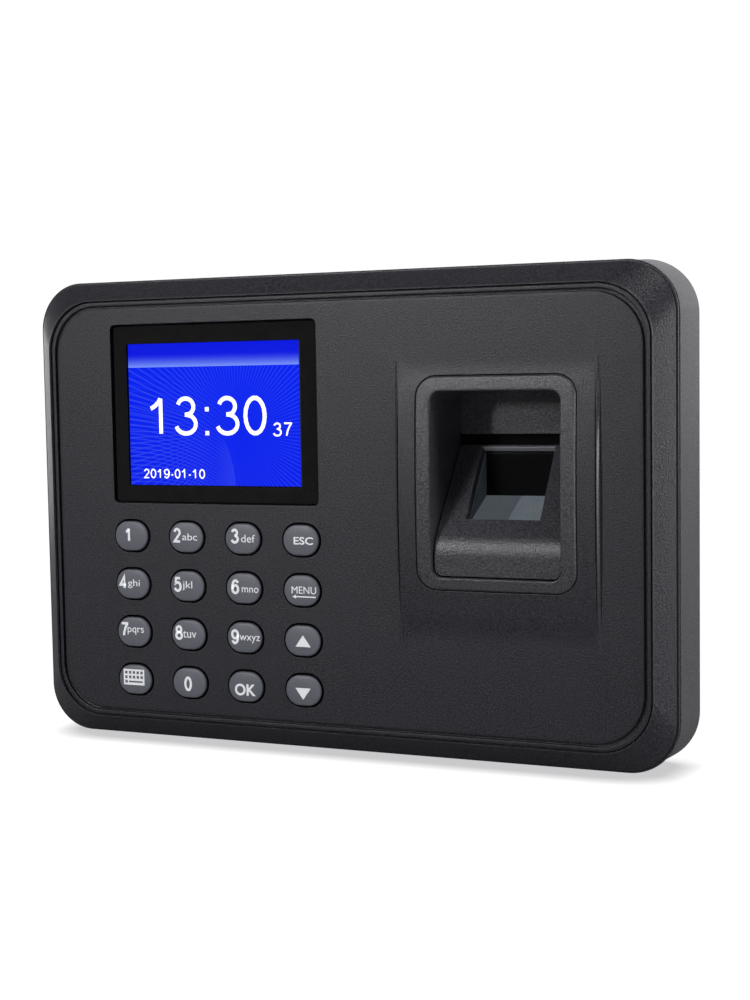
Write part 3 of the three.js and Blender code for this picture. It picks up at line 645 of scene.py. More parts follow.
def display_picture(name):
    """Lit picture of the display: blue wallpaper of crossing rays under a lighter header bar."""
    picture = node_outline("lcd_panel", 0)
    n = Nodes(name)
    place = n.add("SeparateXYZ", {0: n.place()})
    across = n.between(place.outputs[0], 0, 1,
                       (picture.x - LCD_WIDTH / 2) * MM, (picture.x + LCD_WIDTH / 2) * MM)
    down = n.between(place.outputs[2], 0, 1,
                     (picture.z + LCD_HEIGHT / 2) * MM, (picture.z - LCD_HEIGHT / 2) * MM)

    def rays(centre_u, centre_v, count, width, bend=0.0):
        right = n.times(n.minus(across, centre_u), LCD_WIDTH / LCD_HEIGHT)
        below = n.minus(down, centre_v)
        angle = n.math("ARCTAN2", below, right)
        reach = n.math("SQRT", n.plus(n.times(right, right), n.times(below, below)))
        twisted = n.plus(angle, n.times(reach, bend))
        wave = n.math("SINE", n.times(twisted, count))
        return n.between(wave, 0.0, 1.0, 1.0 - width, 1.0), reach

    outer, reach = rays(0.62, 0.63, 120, 0.45)
    crossing, _ = rays(0.95, 1.6, 260, 0.5, bend=0.4)
    low_left = n.times(n.between(down, 0.0, 1.0, 0.15, 0.75), n.between(across, 1.0, 0.0, 0.42, 0.64),
                       clamp=True)
    far = n.between(reach, 0.1, 0.8, 0.0, 0.45)
    lines = n.plus(n.times(outer, far), n.times(crossing, low_left), clamp=True)
    bow = n.times(n.math("POWER", n.minus(1.0, down), 2.0), 0.6)
    left_of_bow = n.math("LESS_THAN", across, n.minus(0.615, bow))
    fading = n.times(n.between(across, 0.0, 0.5, 0.5, 0.61), n.between(down, 0.0, 1.0, 0.6, 0.75))
    blade = n.times(left_of_bow, fading)
    base = n.mix(n.between(down, 0.0, 1.0, 0.1, 1.0), rgb(0.002, 0.020, 0.92), rgb(0.002, 0.016, 0.86))
    strength = n.times(n.plus(lines, blade), 0.15, clamp=True)
    wallpaper = n.mix(strength, base, rgb(0.20, 0.32, 1.0))
    header_glow = n.math("POWER", n.between(down, 0.0, 1.0, 0.07, 0.166), 2.0)
    header = n.mix(header_glow, rgb(0.004, 0.012, 0.78), rgb(0.20, 0.32, 1.0))
    color = n.mix(n.math("LESS_THAN", down, 0.166), wallpaper, header)
    inside_x, inside_z = [n.math("LESS_THAN", n.math("ABSOLUTE", n.minus(share, 0.5)), 0.5)
                          for share in (across, down)]
    return n.surface({
        "Base Color": rgb(0.004, 0.004, 0.006), "Roughness": 0.8, "Specular IOR Level": 0.0,
        "Emission Color": color, "Emission Strength": n.times(n.times(inside_x, inside_z), 0.98),
    })


def studio_floor(name):
    """Pale floor: plain white to the camera with a soft shadow at the object's foot."""
    n = Nodes(name)
    contact = n.add("AmbientOcclusion", {"Distance": 7 * MM}, samples=16).outputs["AO"]
    seen = n.add("Emission", {"Color": n.mix(n.between(contact, 0.0, 1.0, 0.35, 0.95),
                                             rgb(0.58, 0.58, 0.59), rgb(1.02, 1.02, 1.02))})
    felt = n.add("BsdfDiffuse", {"Color": rgb(0.3, 0.3, 0.3)})
    return n.split(felt, seen)


HOUSING = textured_plastic("housing plastic", rgb(0.0285, 0.028, 0.0365))
# The housing plastic made glossier for the pad's side walls, and lighter as a painted highlight.
GLOSSY_EDGE_PAINTED_HIGHLIGHT = textured_plastic("glossy edge plastic with painted highlight", rgb(0.05, 0.05, 0.058), roughness=0.22,
                            relief=0.02, crevice=0.3)
BACK = textured_plastic("back plastic", rgb(0.055, 0.055, 0.062), roughness=0.42)
BEZEL = textured_plastic("bezel plastic", rgb(0.06, 0.059, 0.069), roughness=0.31)
KEYCAP = key_plastic("key plastic", rgb(0.175, 0.182, 0.215))
LENS = clear_sheet("clear acrylic", rgb(0.98, 0.98, 0.99), 0.03, reflectance=1.08)
GASKET = rubber("gasket foam", rgb(0.011, 0.011, 0.011))
DISPLAY = display_picture("display picture")
WHITE = smooth_plastic("white plastic", rgb(0.75, 0.75, 0.73))
FILM = flat_cable("polyimide film", rgb(0.5, 0.24, 0.05), pitch=0.8)
SILICONE = rubber("silicone", rgb(0.09, 0.095, 0.1))
GLASS = clear_sheet("sensor glass", rgb(0.93, 0.95, 0.96), 0.02, reflectance=1.35)
FROSTED = painted_glass("painted prism", rgb(0.26, 0.28, 0.31))
# Pale paint that glows: painted light for the bright room seen in the prism's floor.
PALE_PAINT_PAINTED_GLOW = painted_glass("pale paint with painted glow", rgb(0.72, 0.81, 0.90), glow=0.09)
BLACK_PAINT = painted_glass("black paint", rgb(0.017, 0.017, 0.0175))
# Near-black paint: real paint on the prism's back face, and painted shade on the block in the slot
# behind the finger ramp.
DARK_PAINT_AND_PAINTED_SHADE = painted_glass("dark paint and painted shade", rgb(0.010, 0.0095, 0.010))
# Ground glass edge, whose light grey is a painted reflection of the prism's pale floor.
GLASS_EDGE_PAINTED_REFLECTION = smooth_plastic("ground glass edge with painted reflection", rgb(0.30, 0.31, 0.33), roughness=0.4)
BLACK = smooth_plastic("black plastic", rgb(0.012, 0.012, 0.014), roughness=0.4)
BOARD = circuit_board("solder mask", rgb(0.01, 0.09, 0.035))
RIBBON = flat_cable("ribbon cable", rgb(0.55, 0.55, 0.53))
EPOXY = smooth_plastic("chip epoxy", rgb(0.012, 0.012, 0.013), roughness=0.5)
NYLON = smooth_plastic("connector nylon", rgb(0.7, 0.66, 0.55))
NICKEL = plated_metal("nickel plating", rgb(0.62, 0.61, 0.6), roughness=0.22)
SCREW = plated_metal("zinc screw", rgb(0.5, 0.5, 0.51), roughness=0.3, brushed=False)
PLATE = plated_metal("zinc plate", rgb(0.55, 0.56, 0.57), roughness=0.36)
# The legend ink glows a little: painted light that makes the legends brighter than the lamps alone do.
LEGEND_INK_PAINTED_GLOW = printed_ink("legend ink", rgb(0.82, 0.83, 0.86), glow=0.4)
LIT = printed_ink("lit digits", rgb(0.98, 0.98, 1.0), glow=0.95)

SLOT_MATERIALS = {
    "housing_plastic": HOUSING, "back_plastic": BACK, "bezel_plastic": BEZEL, "key_plastic": KEYCAP,
    "lens_acrylic": LENS, "gasket_black": GASKET, "display_glass": DISPLAY, "white_plastic": WHITE,
    "flex_film": FILM, "silicone": SILICONE, "sensor_glass": GLASS, "black_plastic": BLACK,
    "circuit_board": BOARD, "ribbon_cable": RIBBON, "chip_epoxy": EPOXY, "connector_nylon": NYLON,
    "bright_steel": NICKEL, "screw_steel": SCREW, "plated_steel": PLATE,
}


# ---------------------------------------------------------------- front shell

def ring_edge():
    """Outline of the scanner ring's front face, inside its hidden flange."""
    return node_outline("scanner_bezel", RING_CORNER + RING_FLANGE).inset(RING_FLANGE)


pad_outline = Outline(ring_edge().x, PAD_CENTRE_Z, PAD_HALF_WIDTH, PAD_HALF_HEIGHT, 0)
lens_outline = node_outline("display_lens", 1.2)
key_names = [name for name in sorted(frame["nodes"]) if name.startswith("key_")]


def pad_height(z):
    """How far the pad stands over the panel at height z."""
    radius = (PAD_HALF_HEIGHT ** 2 + PAD_RISE ** 2) / (2 * PAD_RISE)
    off_centre = min(abs(z - pad_outline.z), PAD_HALF_HEIGHT)
    arc_height = PAD_RISE - radius + math.sqrt(radius ** 2 - off_centre ** 2)
    share = min((PAD_HALF_HEIGHT - off_centre) / PAD_BLEND, 1.0)
    return arc_height * share * share * (3 - 2 * share)


def key_outline(name, grow=0.0):
    """Outline of a key's cap, which lies inside its hidden flange."""
    cap = node_outline(name, 0).inset(KEY_FLANGE - grow)
    cap.corner = cap.half_h * KEY_ROUNDNESS
    return cap


def recess_outline(depth):
    """The tapering inside of the finger recess at a depth."""
    ring = ring_edge()
    taper = RECESS_TAPER * (depth - RECESS_MOUTH) / (RECESS_BACK - RECESS_MOUTH)
    return Outline(ring.x, ring.z - RECESS_DROP, ring.half_w - RING_SIDE - taper,
                   ring.half_h - RING_END - taper, RECESS_CORNER)


def add_key_hole(shell, name, edge=0.1, steps=10):
    """Opening for a key, with a rounded front edge; returns its front and back rims."""
    outline = key_outline(name, KEY_SLACK)
    rounding = softened([(-edge, 0.0, 0), (0.0, 0.0, edge * 0.9), (0.0, SHELL_WALL, 0)])
    sections = [(outline.inset(inset), depth) for inset, depth in rounding]
    shell.stack(shell.rings(sections, steps))
    return rim_of(sections[0][0], steps), rim_of(outline, steps)


def add_lens_seat(shell, steps=6):
    """Stepped opening for the lens and its gasket; returns its front and back rims."""
    seat = lens_outline.inset(-0.2, 1.4)
    ledge = seat.inset(2.8, 1.0)
    floor = node_depths("lens_gasket")[1] + 0.15
    profile = softened([(-0.2, 0.0, 0), (0.0, 0.0, 0.15), (0.0, floor, 0)])
    sections = [(seat.inset(inset), depth) for inset, depth in profile]
    sections += [(ledge, floor), (ledge, SHELL_WALL)]
    shell.stack(shell.rings(sections, steps))
    return rim_of(sections[0][0], steps), rim_of(ledge, steps)


def add_pad_sides(shell, heights):
    """Steep sides of the pad, up one strip each side; returns how far out their lines lie."""
    profile = softened(PAD_SIDE_PROFILE, steps=5)
    for side in (-1, 1):
        columns = []
        for across, share in profile:
            x = pad_outline.x + side * (PAD_HALF_WIDTH - across)
            columns.append([shell.vertex(x, z, -pad_height(z) * share) for z in heights])
        for i in range(len(columns) - 1):
            # The steep wall's strips take the glossier plastic, whose lighter colour is a painted
            # highlight.
            shell.slot = int(profile[i][0] < PAD_SIDE_PROFILE[2][0])
            shell.strip(columns[i], columns[i + 1], closed=False)
    shell.slot = 0
    return [PAD_HALF_WIDTH - across for across, share in profile]


def add_pad(shell):
    """Raised pad, and the scanner's opening in it; returns its front rim and the back rim."""
    steps, sides, spread = RING_STEPS, RING_SIDE_STEPS, 8
    opening = ring_edge().inset(-0.15)
    lip = softened([(-0.3, 0.0, 0), (0.0, 0.0, 0.26), (0.02, 1.0, 0)])
    sections = [(opening.inset(inset), lambda x, z, sunk=sunk: sunk - pad_height(z))
                for inset, sunk in lip]
    shell.stack(shell.rings(sections + [(opening, SHELL_WALL)], steps, sides))

    # Rings spread from the opening out to a rectangle inside the pad's sides.
    margin = PAD_SIDE_PROFILE[-1][0]
    top = Outline(pad_outline.x, pad_outline.z, PAD_HALF_WIDTH - margin, PAD_HALF_HEIGHT, 0)
    near_points, top_points = sections[0][0].points(steps, sides), top.points(steps, sides)
    spread_loops = []
    for ring in range(spread + 1):
        points = [between(near, far, ring / spread) for near, far in zip(near_points, top_points)]
        spread_loops.append(shell.loop(points, lambda x, z: -pad_height(z)))
    shell.stack(spread_loops)

    # The sides share the rectangle's heights, and the border on the panel has all the points.
    heights = sorted({round(z, 6) for x, z in top_points})
    lines = add_pad_sides(shell, heights)
    row = {round(x, 6) for x, z in top_points if abs(z - heights[0]) < 1e-6}
    row |= {round(pad_outline.x + side * off, 6) for side in (-1, 1) for off in lines}
    row = sorted(row)
    left, right = pad_outline.x - PAD_HALF_WIDTH, pad_outline.x + PAD_HALF_WIDTH
    border = [(x, heights[0]) for x in row] + [(right, z) for z in heights[1:-1]]
    border += [(x, heights[-1]) for x in reversed(row)] + [(left, z) for z in reversed(heights[1:-1])]
    return (border, pad_outline), rim_of(opening, steps, sides)


def add_boss(shell, screw, radius, end, steps=5):
    """Round boss for a screw on the panel's inner face; returns the rim of its foot."""
    place = node_outline(screw, 0)
    outside, bore = circle(place.x, place.z, radius), circle(place.x, place.z, SCREW_BORE)
    sections = [(outside, SHELL_WALL), (outside, end), (bore, end), (bore, 3.8)]
    shell.stack(shell.rings(sections, steps), cap_last=True)
    return rim_of(outside, steps)


def build_front_shell():
    """Bevelled frame and a flat panel with its openings, its raised pad and the bosses behind."""
    shell = Builder()
    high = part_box("front_shell")[1] / MM
    rim = Outline(0, 0, high.x, high.z, 12)
    sections = [(rim.inset(inset, corner), depth) for inset, depth, corner in softened(FRAME_PROFILE)]
    shell.stack(shell.rings(sections))
    openings = [add_key_hole(shell, name) for name in key_names]
    openings += [add_lens_seat(shell), add_pad(shell)]
    feet = []
    for i in range(1, 5):
        feet.append(add_boss(shell, f"case_screw_{i}", CASE_BOSS_RADIUS, CASE_BOSS_END))
        post_end = node_depths("main_board")[0] - 0.15
        feet.append(add_boss(shell, f"board_screw_{i}", BOARD_POST_RADIUS, post_end))
    inner_border, panel_border = sections[0][0], sections[-1][0]
    shell.sheet(panel_border.points(), panel_border, [front for front, back in openings], 0.0)
    shell.sheet(inner_border.points(), inner_border, [back for front, back in openings] + feet,
                SHELL_WALL)
    piece = shell.finish("front_shell_moulding", [HOUSING, GLOSSY_EDGE_PAINTED_HIGHLIGHT])
    stand_in("front_shell")


# ---------------------------------------------------------------- back shell

def solid_from(profile, outline, name):
    """A closed solid through the insets of an outline, from front to back."""
    solid = Builder()
    sections = [(outline.inset(inset, corner), depth) for inset, depth, corner in profile]
    solid.stack(solid.rings(sections), True, True)
    return solid.finish(name, [BACK])


def add_rod(builder, x, z, radius, low, high, steps=10):
    """A round rod from one depth to another."""
    around = circle(x, z, radius)
    builder.stack(builder.rings([(around, low), (around, high)], steps), True, True)


def combine(piece, tool, operation):
    """Joins or cuts a piece with a tool, which is used up."""
    modifier = piece.modifiers.new("combine", "BOOLEAN")
    modifier.object = tool
    modifier.operation = operation
    modifier.solver = "EXACT"
    depsgraph = bpy.context.evaluated_depsgraph_get()
    result = bpy.data.meshes.new_from_object(piece.evaluated_get(depsgraph))
    piece.modifiers.clear()
    piece.data = result
    bpy.data.objects.remove(tool)


def add_speaker_holes(builder):
    """One hole in the middle of the speaker and six round it."""
    speaker = node_outline("speaker", 0)
    centres = [(speaker.x, speaker.z)] + arc(speaker.x, speaker.z, SPEAKER_RING, SPEAKER_RING, 0, 300, 5)
    for x, z in centres:
        add_rod(builder, x, z, SPEAKER_HOLE, BACK_INSIDE, BACK_OUTSIDE)


def add_lock_bore(builder):
    """Upright bore for the locking screw, up from the underside."""
    lock, (front, back) = node_outline("lock_screw", 0), node_depths("lock_screw")
    ring = arc(lock.x, (front + back) / 2, SCREW_BORE, SCREW_BORE, 0, 345, 23)
    builder.stack([[builder.vertex(x, z, depth) for x, depth in ring] for z in LOCK_BORE], True, True)


def build_back_shell():
    """Hollow shell with screw towers, and cuts for speaker, hooks, ports and locking screw."""
    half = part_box("back_shell")[1] / MM
    widest = Outline(0, 0, half.x, half.z, 13)
    shell = solid_from(softened(BACK_PROFILE), widest, "back_shell_moulding")
    cavity = solid_from(CAVITY_PROFILE, widest, "cavity")
    combine(shell, cavity, "DIFFERENCE")
    screws = [node_outline(f"case_screw_{i}", 0) for i in range(1, 5)]
    towers, wells, bores = Builder(), Builder(), Builder()
    for screw in screws:
        add_rod(towers, screw.x, screw.z, TOWER_RADIUS, TOWER_FRONT, 27)
        add_rod(wells, screw.x, screw.z, WELL_RADIUS, TOWER_FRONT + 2.25, BACK_OUTSIDE)
        add_rod(bores, screw.x, screw.z, SCREW_BORE, TOWER_FRONT - 1, TOWER_FRONT + 3)
    add_speaker_holes(wells)
    for side in (-1, 1):
        middle = side * HOOK_SPACING / 2
        wells.block((middle - HOOK_SLOT[0] / 2, HOOK_SLOT_FOOT, BACK_INSIDE),
                    (middle + HOOK_SLOT[0] / 2, HOOK_SLOT_FOOT + HOOK_SLOT[1], BACK_OUTSIDE))
    for port in ("usb_port", "power_jack"):
        box, (front, back) = node_outline(port, 0), node_depths(port)
        wells.block((box.x - box.half_w - PORT_GAP, UNDERSIDE[0], front - PORT_GAP),
                    (box.x + box.half_w + PORT_GAP, UNDERSIDE[1], back + PORT_GAP))
    add_lock_bore(wells)
    combine(shell, towers.finish("towers", [BACK]), "UNION")
    combine(shell, wells.finish("wells", [BACK]), "DIFFERENCE")
    combine(shell, bores.finish("bores", [BACK]), "DIFFERENCE")
    for polygon in shell.data.polygons:
        polygon.use_smooth = True
    shell.data.set_sharp_from_angle(angle=math.radians(32))
    stand_in("back_shell")


# ---------------------------------------------------------------- scanner

def build_lens_print():
    """Black border printed on the back of the lens, just inside it, round the lit picture."""
    border = Builder()
    back = node_depths("display_lens")[1]
    edge = lens_outline.inset(0.25)
    picture = node_outline("lcd_panel", 0)
    opening = Outline(picture.x + LENS_PRINT_SHIFT, picture.z, LCD_WIDTH / 2, LCD_HEIGHT / 2, 0.1)
    front, rear = back - 0.05, back - 0.01
    loops = border.rings([(edge, front), (edge, rear), (opening, rear), (opening, front)], steps=4)
    border.stack(loops + loops[:1])
    piece = border.finish("display_lens_print", [BLACK_PAINT])


def build_scanner_bezel():
    """Ring round the finger recess, with the tapering tube behind it."""
    bezel = Builder()
    ring = ring_edge()
    low = node_depths("scanner_bezel")[1]

    def front(sunk):
        return lambda x, z: -pad_height(z) - RING_PROUD + sunk

    hidden = [(ring.inset(1.3, 4), low), (ring.inset(1.3, 4), 4.0), (ring.inset(-RING_FLANGE), 4.0),
              (ring.inset(-RING_FLANGE), 2.4), (ring, 2.4)]
    outer_edge = softened([(0.0, 1.6, 0), (0.0, 0.5, 0.06), (0.36, 0.0, 0.06), (0.9, 0.0, 0)])
    inner_edge = softened([(-0.7, 0.0, 0), (0.0, 0.0, 0.32), (0.03, 1.2, 0)])
    sections = hidden + [(ring.inset(inset), front(sunk)) for inset, sunk in outer_edge]
    for inset, sunk in inner_edge:
        sections.append((recess_outline(-2.0).inset(inset, RECESS_CORNER - inset), front(sunk)))
    sections += [(recess_outline(depth), depth) for depth in (2.0, 8.0, 14.0, low)]
    loops = bezel.rings(sections, RING_STEPS, RING_SIDE_STEPS)
    bezel.stack(loops + loops[:1])
    piece = bezel.finish("scanner_bezel_moulding", [BEZEL])
    stand_in("scanner_bezel")


def build_finger_guide():
    """Curved lip and ramp with the window's opening, the wall above it and the slot between, whose
    near-black block is painted shade.
    """
    guide = Builder()
    centre_x = ring_edge().x
    lip_radius, face, gap, corner = 8.5, -0.3, 0.3, 2.2
    foot_steps, lip_steps = 6, 16
    corner_z = RAMP_FOOT[1] - (RAMP_FOOT[0] - face) / math.tan(RAMP_ANGLE)
    lip_start = corner_z - lip_radius * math.tan(RAMP_ANGLE / 2)
    mouth = recess_outline(face)
    foot = mouth.z - mouth.half_h + gap
    rows = []
    for i in range(foot_steps + 1):
        angle = math.pi / 2 * i / foot_steps
        rows.append((face, foot + corner * (1 - math.cos(angle))))
    for i in range(lip_steps + 1):
        angle = RAMP_ANGLE * i / lip_steps
        rows.append((face + lip_radius * (1 - math.cos(angle)),
                     lip_start + lip_radius * math.sin(angle)))
    aperture_start = len(rows)
    rows += [on_ramp(along, 0) for along in (0.0, WINDOW_LENGTH, WINDOW_LENGTH + 0.5)]

    def half_width(depth, z):
        """Half the recess's width, less where its lower corners are rounded."""
        outline = recess_outline(depth).inset(gap)
        over = (outline.z - outline.half_h + corner) - z
        round_off = corner - math.sqrt(max(corner ** 2 - max(over, 0) ** 2, 0))
        return outline.half_w - round_off

    grid = []
    for depth, z in rows:
        half = half_width(depth, z)
        inner = min(WINDOW_HALF_WIDTH, half - 0.5)
        xs = [-half, -inner, inner, half]
        grid.append([guide.vertex(centre_x + x, z, depth) for x in xs])
    for j in range(len(rows) - 1):
        for i in range(3):
            if i == 1 and j == aperture_start:
                continue
            guide.face((grid[j][i], grid[j][i + 1], grid[j + 1][i + 1], grid[j + 1][i]))
    piece = guide.finish("finger_guide_moulding", [BEZEL])
    solid = piece.modifiers.new("wall thickness", "SOLIDIFY")
    solid.thickness = 2.4 * MM
    solid.offset = -1.0
    solid.use_even_offset = True
    add_bevel(piece, 0.12, segments=2, angle=50)
    stand_in("finger_guide")

    wall = Builder()
    half = ring_edge().half_w - 1.5
    wall_top, slot_top, slot_foot = 31.2, 19.0, 15.2
    wall.block((centre_x - half, slot_top, RECESS_BACK), (centre_x + half, wall_top, RECESS_BACK + 2))
    # Painted shade: the block behind the slot under the wall is near black.
    wall.slot = 1
    wall.block((centre_x - half, slot_foot, RECESS_BACK + 2),
               (centre_x + half, slot_top + 2, RECESS_BACK + 3.5))
    upper = wall.finish("recess_back_wall", [BEZEL, DARK_PAINT_AND_PAINTED_SHADE])
    add_bevel(upper, 0.15, segments=2)
    stand_in("finger_guide")


def build_sensor():
    """Glass window with a ground top edge, light grey as a painted reflection, over the painted faces of
    the prism behind it.
    """
    centre_x = ring_edge().x
    window = Builder()
    start, end = WINDOW_GAP, WINDOW_LENGTH - WINDOW_GAP
    half = WINDOW_HALF_WIDTH - WINDOW_GAP
    top, bottom = 1.6, 3.1
    corners = [on_ramp(start, top), on_ramp(start, bottom), on_ramp(end, bottom), on_ramp(end, top)]
    left, right = [[window.vertex(centre_x + side * half, z, depth) for depth, z in corners]
                   for side in (-1, 1)]
    for i, paint in enumerate((1, 0, 1, 0)):
        j = (i + 1) % 4
        window.slot = paint
        window.face((left[i], left[j], right[j], right[i]))
    window.slot = 2
    window.face(left)
    window.face(right)
    piece = window.finish("sensor_window_glass", [GLASS, BLACK_PAINT, FROSTED])
    stand_in("sensor_window")

    # The ground top edge: a strip whose light grey is a painted reflection.
    edge = Builder()
    profile = [on_ramp(end + 0.12, 0.05), on_ramp(end + 0.12, top - 0.02),
               on_ramp(end + 0.02, top - 0.02), on_ramp(end, 0.12)]
    edge.extrude(profile, centre_x - half - 0.1, centre_x + half + 0.1)
    piece = edge.finish("sensor_window_edge", [GLASS_EDGE_PAINTED_REFLECTION])

    # The prism is seen through its glass: pale floor and ends, black back face. The floor's glow is
    # painted light for the bright room seen in it.
    prism = Builder()
    half = 9.05
    floor_front, floor_back = (8.1, -1.3), (19.2, 3.9)
    head = on_ramp(end, bottom + 0.1)
    thickness = 0.25
    floor = [floor_front, floor_back, (floor_back[0], floor_back[1] - thickness),
             (floor_front[0], floor_front[1] - thickness)]
    prism.slot = 2
    prism.extrude(floor, centre_x - half, centre_x + half)
    prism.slot = 1
    prism.block((centre_x - half, floor_back[1] - thickness / 2, floor_back[0] - 0.1),
                (centre_x + half, head[1] + 1.4, floor_back[0] + thickness))
    prism.slot = 0
    end_face = [floor_front, floor_back, (floor_back[0], head[1] + 0.6), head]
    for side in (-1, 1):
        x = centre_x + side * half
        prism.extrude(end_face, x, x + side * 0.3)
    piece = prism.finish("sensor_prism_faces", [FROSTED, DARK_PAINT_AND_PAINTED_SHADE, PALE_PAINT_PAINTED_GLOW])
    stand_in("sensor_prism")


# ---------------------------------------------------------------- keys and lettering

def build_key(name):
    """Soft-edged cap on its flange and stem."""
    key = Builder()
    cap = key_outline(name)
    front, back = node_depths(name)
    box = node_outline(name, 0)
    flange = key_outline(name, KEY_FLANGE)
    stem = Outline(box.x, box.z, 3, 2, 2 * KEY_ROUNDNESS)
    hidden = [(stem, back), (stem, 3.4), (flange, 3.4), (flange, 2.4), (cap, 2.4)]
    dome = softened([(0.0, 1.2, 0), (0.0, front + 0.3, 0.55), (1.3, front + 0.1, 0.8),
                     (3.5, front, 0)], steps=6)
    sections = hidden + [(cap.inset(inset, max(cap.corner - inset, 0.1)), depth)
                         for inset, depth in dome]
    key.stack(key.rings(sections, steps=14), True, True)
    piece = key.finish(name + "_cap", [KEYCAP], body=name, sharp=50)
    stand_in(name)


def facing_forward(x, z, depth):
    """Turns a flat drawing to face forward and puts it at a point."""
    there = Matrix.Translation((x * MM, (depth - PANEL_TO_WALL) * MM, z * MM))
    return there @ Matrix.Rotation(math.pi / 2, 4, "X")


def fitted(piece, width, height):
    """Fits a flat drawing to a size and centres it."""
    bpy.context.view_layer.update()
    low, high = [Vector(pick(corner[i] for corner in piece.bound_box) for i in range(3))
                 for pick in (min, max)]
    size, centre = high - low, (low + high) / 2
    scale = Matrix.Diagonal((width * MM / size.x, height * MM / size.y, 1.0, 1.0))
    return scale @ Matrix.Translation((-centre.x, -centre.y, 0))


def new_curve(name, kind, material):
    """A curve or text that is filled and very slightly thick."""
    curve = bpy.data.curves.new(name, kind)
    curve.extrude = 0.012 * MM
    curve.materials.append(material)
    return curve


def lettering(name, text, x, z, width, height, depth, material, body="terminal", weight=0.0):
    """A word in the plain built-in typeface, fitted to a size; weight thickens its strokes."""
    curve = new_curve(name, "FONT", material)
    curve.body = text
    curve.size = height * MM * 1.4
    curve.offset = weight * MM
    curve.resolution_u = 6
    piece = new_object(name, curve)
    piece.matrix_world = facing_forward(x, z, depth) @ fitted(piece, width, height)
    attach(piece, body)


def drawing(name, loops, x, z, depth, material, body):
    """A flat filled drawing; loops inside other loops are holes."""
    curve = new_curve(name, "CURVE", material)
    curve.dimensions = "2D"
    curve.fill_mode = "BOTH"
    for loop in loops:
        spline = curve.splines.new("POLY")
        spline.points.add(len(loop) - 1)
        for point, (u, v) in zip(spline.points, loop):
            point.co = (u * MM, v * MM, 0, 1)
        spline.use_cyclic_u = True
    piece = new_object(name, curve)
    piece.matrix_world = facing_forward(x, z, depth)
    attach(piece, body)


def arc(x, z, half_w, half_h, start, end, steps=18):
    """Part of an ellipse, from one angle in degrees to another."""
    angles = [math.radians(start + (end - start) * i / steps) for i in range(steps + 1)]
    return [(x + half_w * math.cos(angle), z + half_h * math.sin(angle)) for angle in angles]


def bend(start, middle, end, steps=10):
    """A curve from start to end that leans towards the middle point."""
    points = []
    for i in range(steps + 1):
        t = i / steps
        points.append(tuple(a * (1 - t) ** 2 + b * 2 * t * (1 - t) + c * t ** 2
                            for a, b, c in zip(start, middle, end)))
    return points


SIX = [arc(0.5, 0.31, 0.5, 0.31, 180, 540), arc(0.55, 0.5, 0.55, 0.5, 38, 180) + [(0.0, 0.31)]]
# Middle lines of plain figures in a box one wide and one high.
FIGURES = {
    "0": [arc(0.5, 0.5, 0.5, 0.5, 0, 360)],
    "1": [[(0.54, 0.0), (0.54, 1.0)], bend((0.53, 1.0), (0.35, 0.8), (0.0, 0.72))],
    "2": [arc(0.5, 0.72, 0.46, 0.28, 170, -25) + [(0.02, 0.0), (1.0, 0.0)]],
    "3": [arc(0.47, 0.765, 0.42, 0.235, 165, -80), arc(0.47, 0.27, 0.53, 0.27, 95, -165)],
    "4": [[(0.74, 0.0), (0.74, 1.0), (0.0, 0.28), (1.05, 0.28)]],
    "5": [[(0.92, 1.0), (0.2, 1.0)] + arc(0.47, 0.32, 0.53, 0.34, 140, -160)],
    "6": SIX,
    "7": [[(0.0, 1.0), (1.0, 1.0)] + bend((1.0, 0.95), (0.45, 0.5), (0.35, 0.0))],
    "8": [arc(0.5, 0.765, 0.42, 0.235, 0, 360), arc(0.5, 0.27, 0.5, 0.27, 0, 360)],
    "9": [[(1 - x, 1 - z) for x, z in stroke] for stroke in SIX],
    ":": [[(0.5, 0.0), (0.5, 0.02)], [(0.5, 0.68), (0.5, 0.7)]],
    "-": [[(0.0, 0.36), (1.0, 0.36)]],
}
# Width of a figure with its side gaps, against its height.
ADVANCE = {":": 0.43, "-": 0.46}
FIGURE_ADVANCE = 0.777
SIDE_GAP = 0.06


def figures(name, text, x, z, width, height, stroke, depth, material, body="terminal"):
    """A number drawn with strokes of one thickness, centred on a point and fitted to a size."""
    number = Builder()
    advances = [ADVANCE.get(letter, FIGURE_ADVANCE) for letter in text]
    scale = width / (sum(advances) - 2 * SIDE_GAP)
    at = x - width / 2 - SIDE_GAP * scale
    for letter, advance in zip(text, advances):
        left = at + SIDE_GAP * scale + stroke / 2
        wide = (advance - 2 * SIDE_GAP) * scale - stroke
        for points in FIGURES[letter]:
            line = [Vector((left + u * wide, z - height / 2 + stroke / 2 + v * (height - stroke)))
                    for u, v in points]
            if letter == ":":
                middle = (line[0] + line[1]) / 2
                line = [middle - Vector((0, stroke / 2)), middle + Vector((0, stroke / 2))]
            add_stroke(number, line, stroke, depth)
        at += advance * scale
    number.finish(name, [material], body=body)


def add_stroke(builder, line, thickness, depth):
    """A flat bar of one thickness along a bent line, with mitred bends."""
    sections = []
    for i, point in enumerate(line):
        before = (point - line[i - 1]).normalized() if i else None
        after = (line[i + 1] - point).normalized() if i + 1 < len(line) else None
        along = ((before or after) + (after or before)).normalized()
        bend_share = max(along.dot(after or before), 0.5)
        aside = Vector((-along.y, along.x)) * thickness / 2 / bend_share
        corners = [(point + aside, depth), (point - aside, depth),
                   (point - aside, depth + 0.02), (point + aside, depth + 0.02)]
        sections.append([builder.vertex(corner.x, corner.y, d) for corner, d in corners])
    builder.stack(sections, True, True)


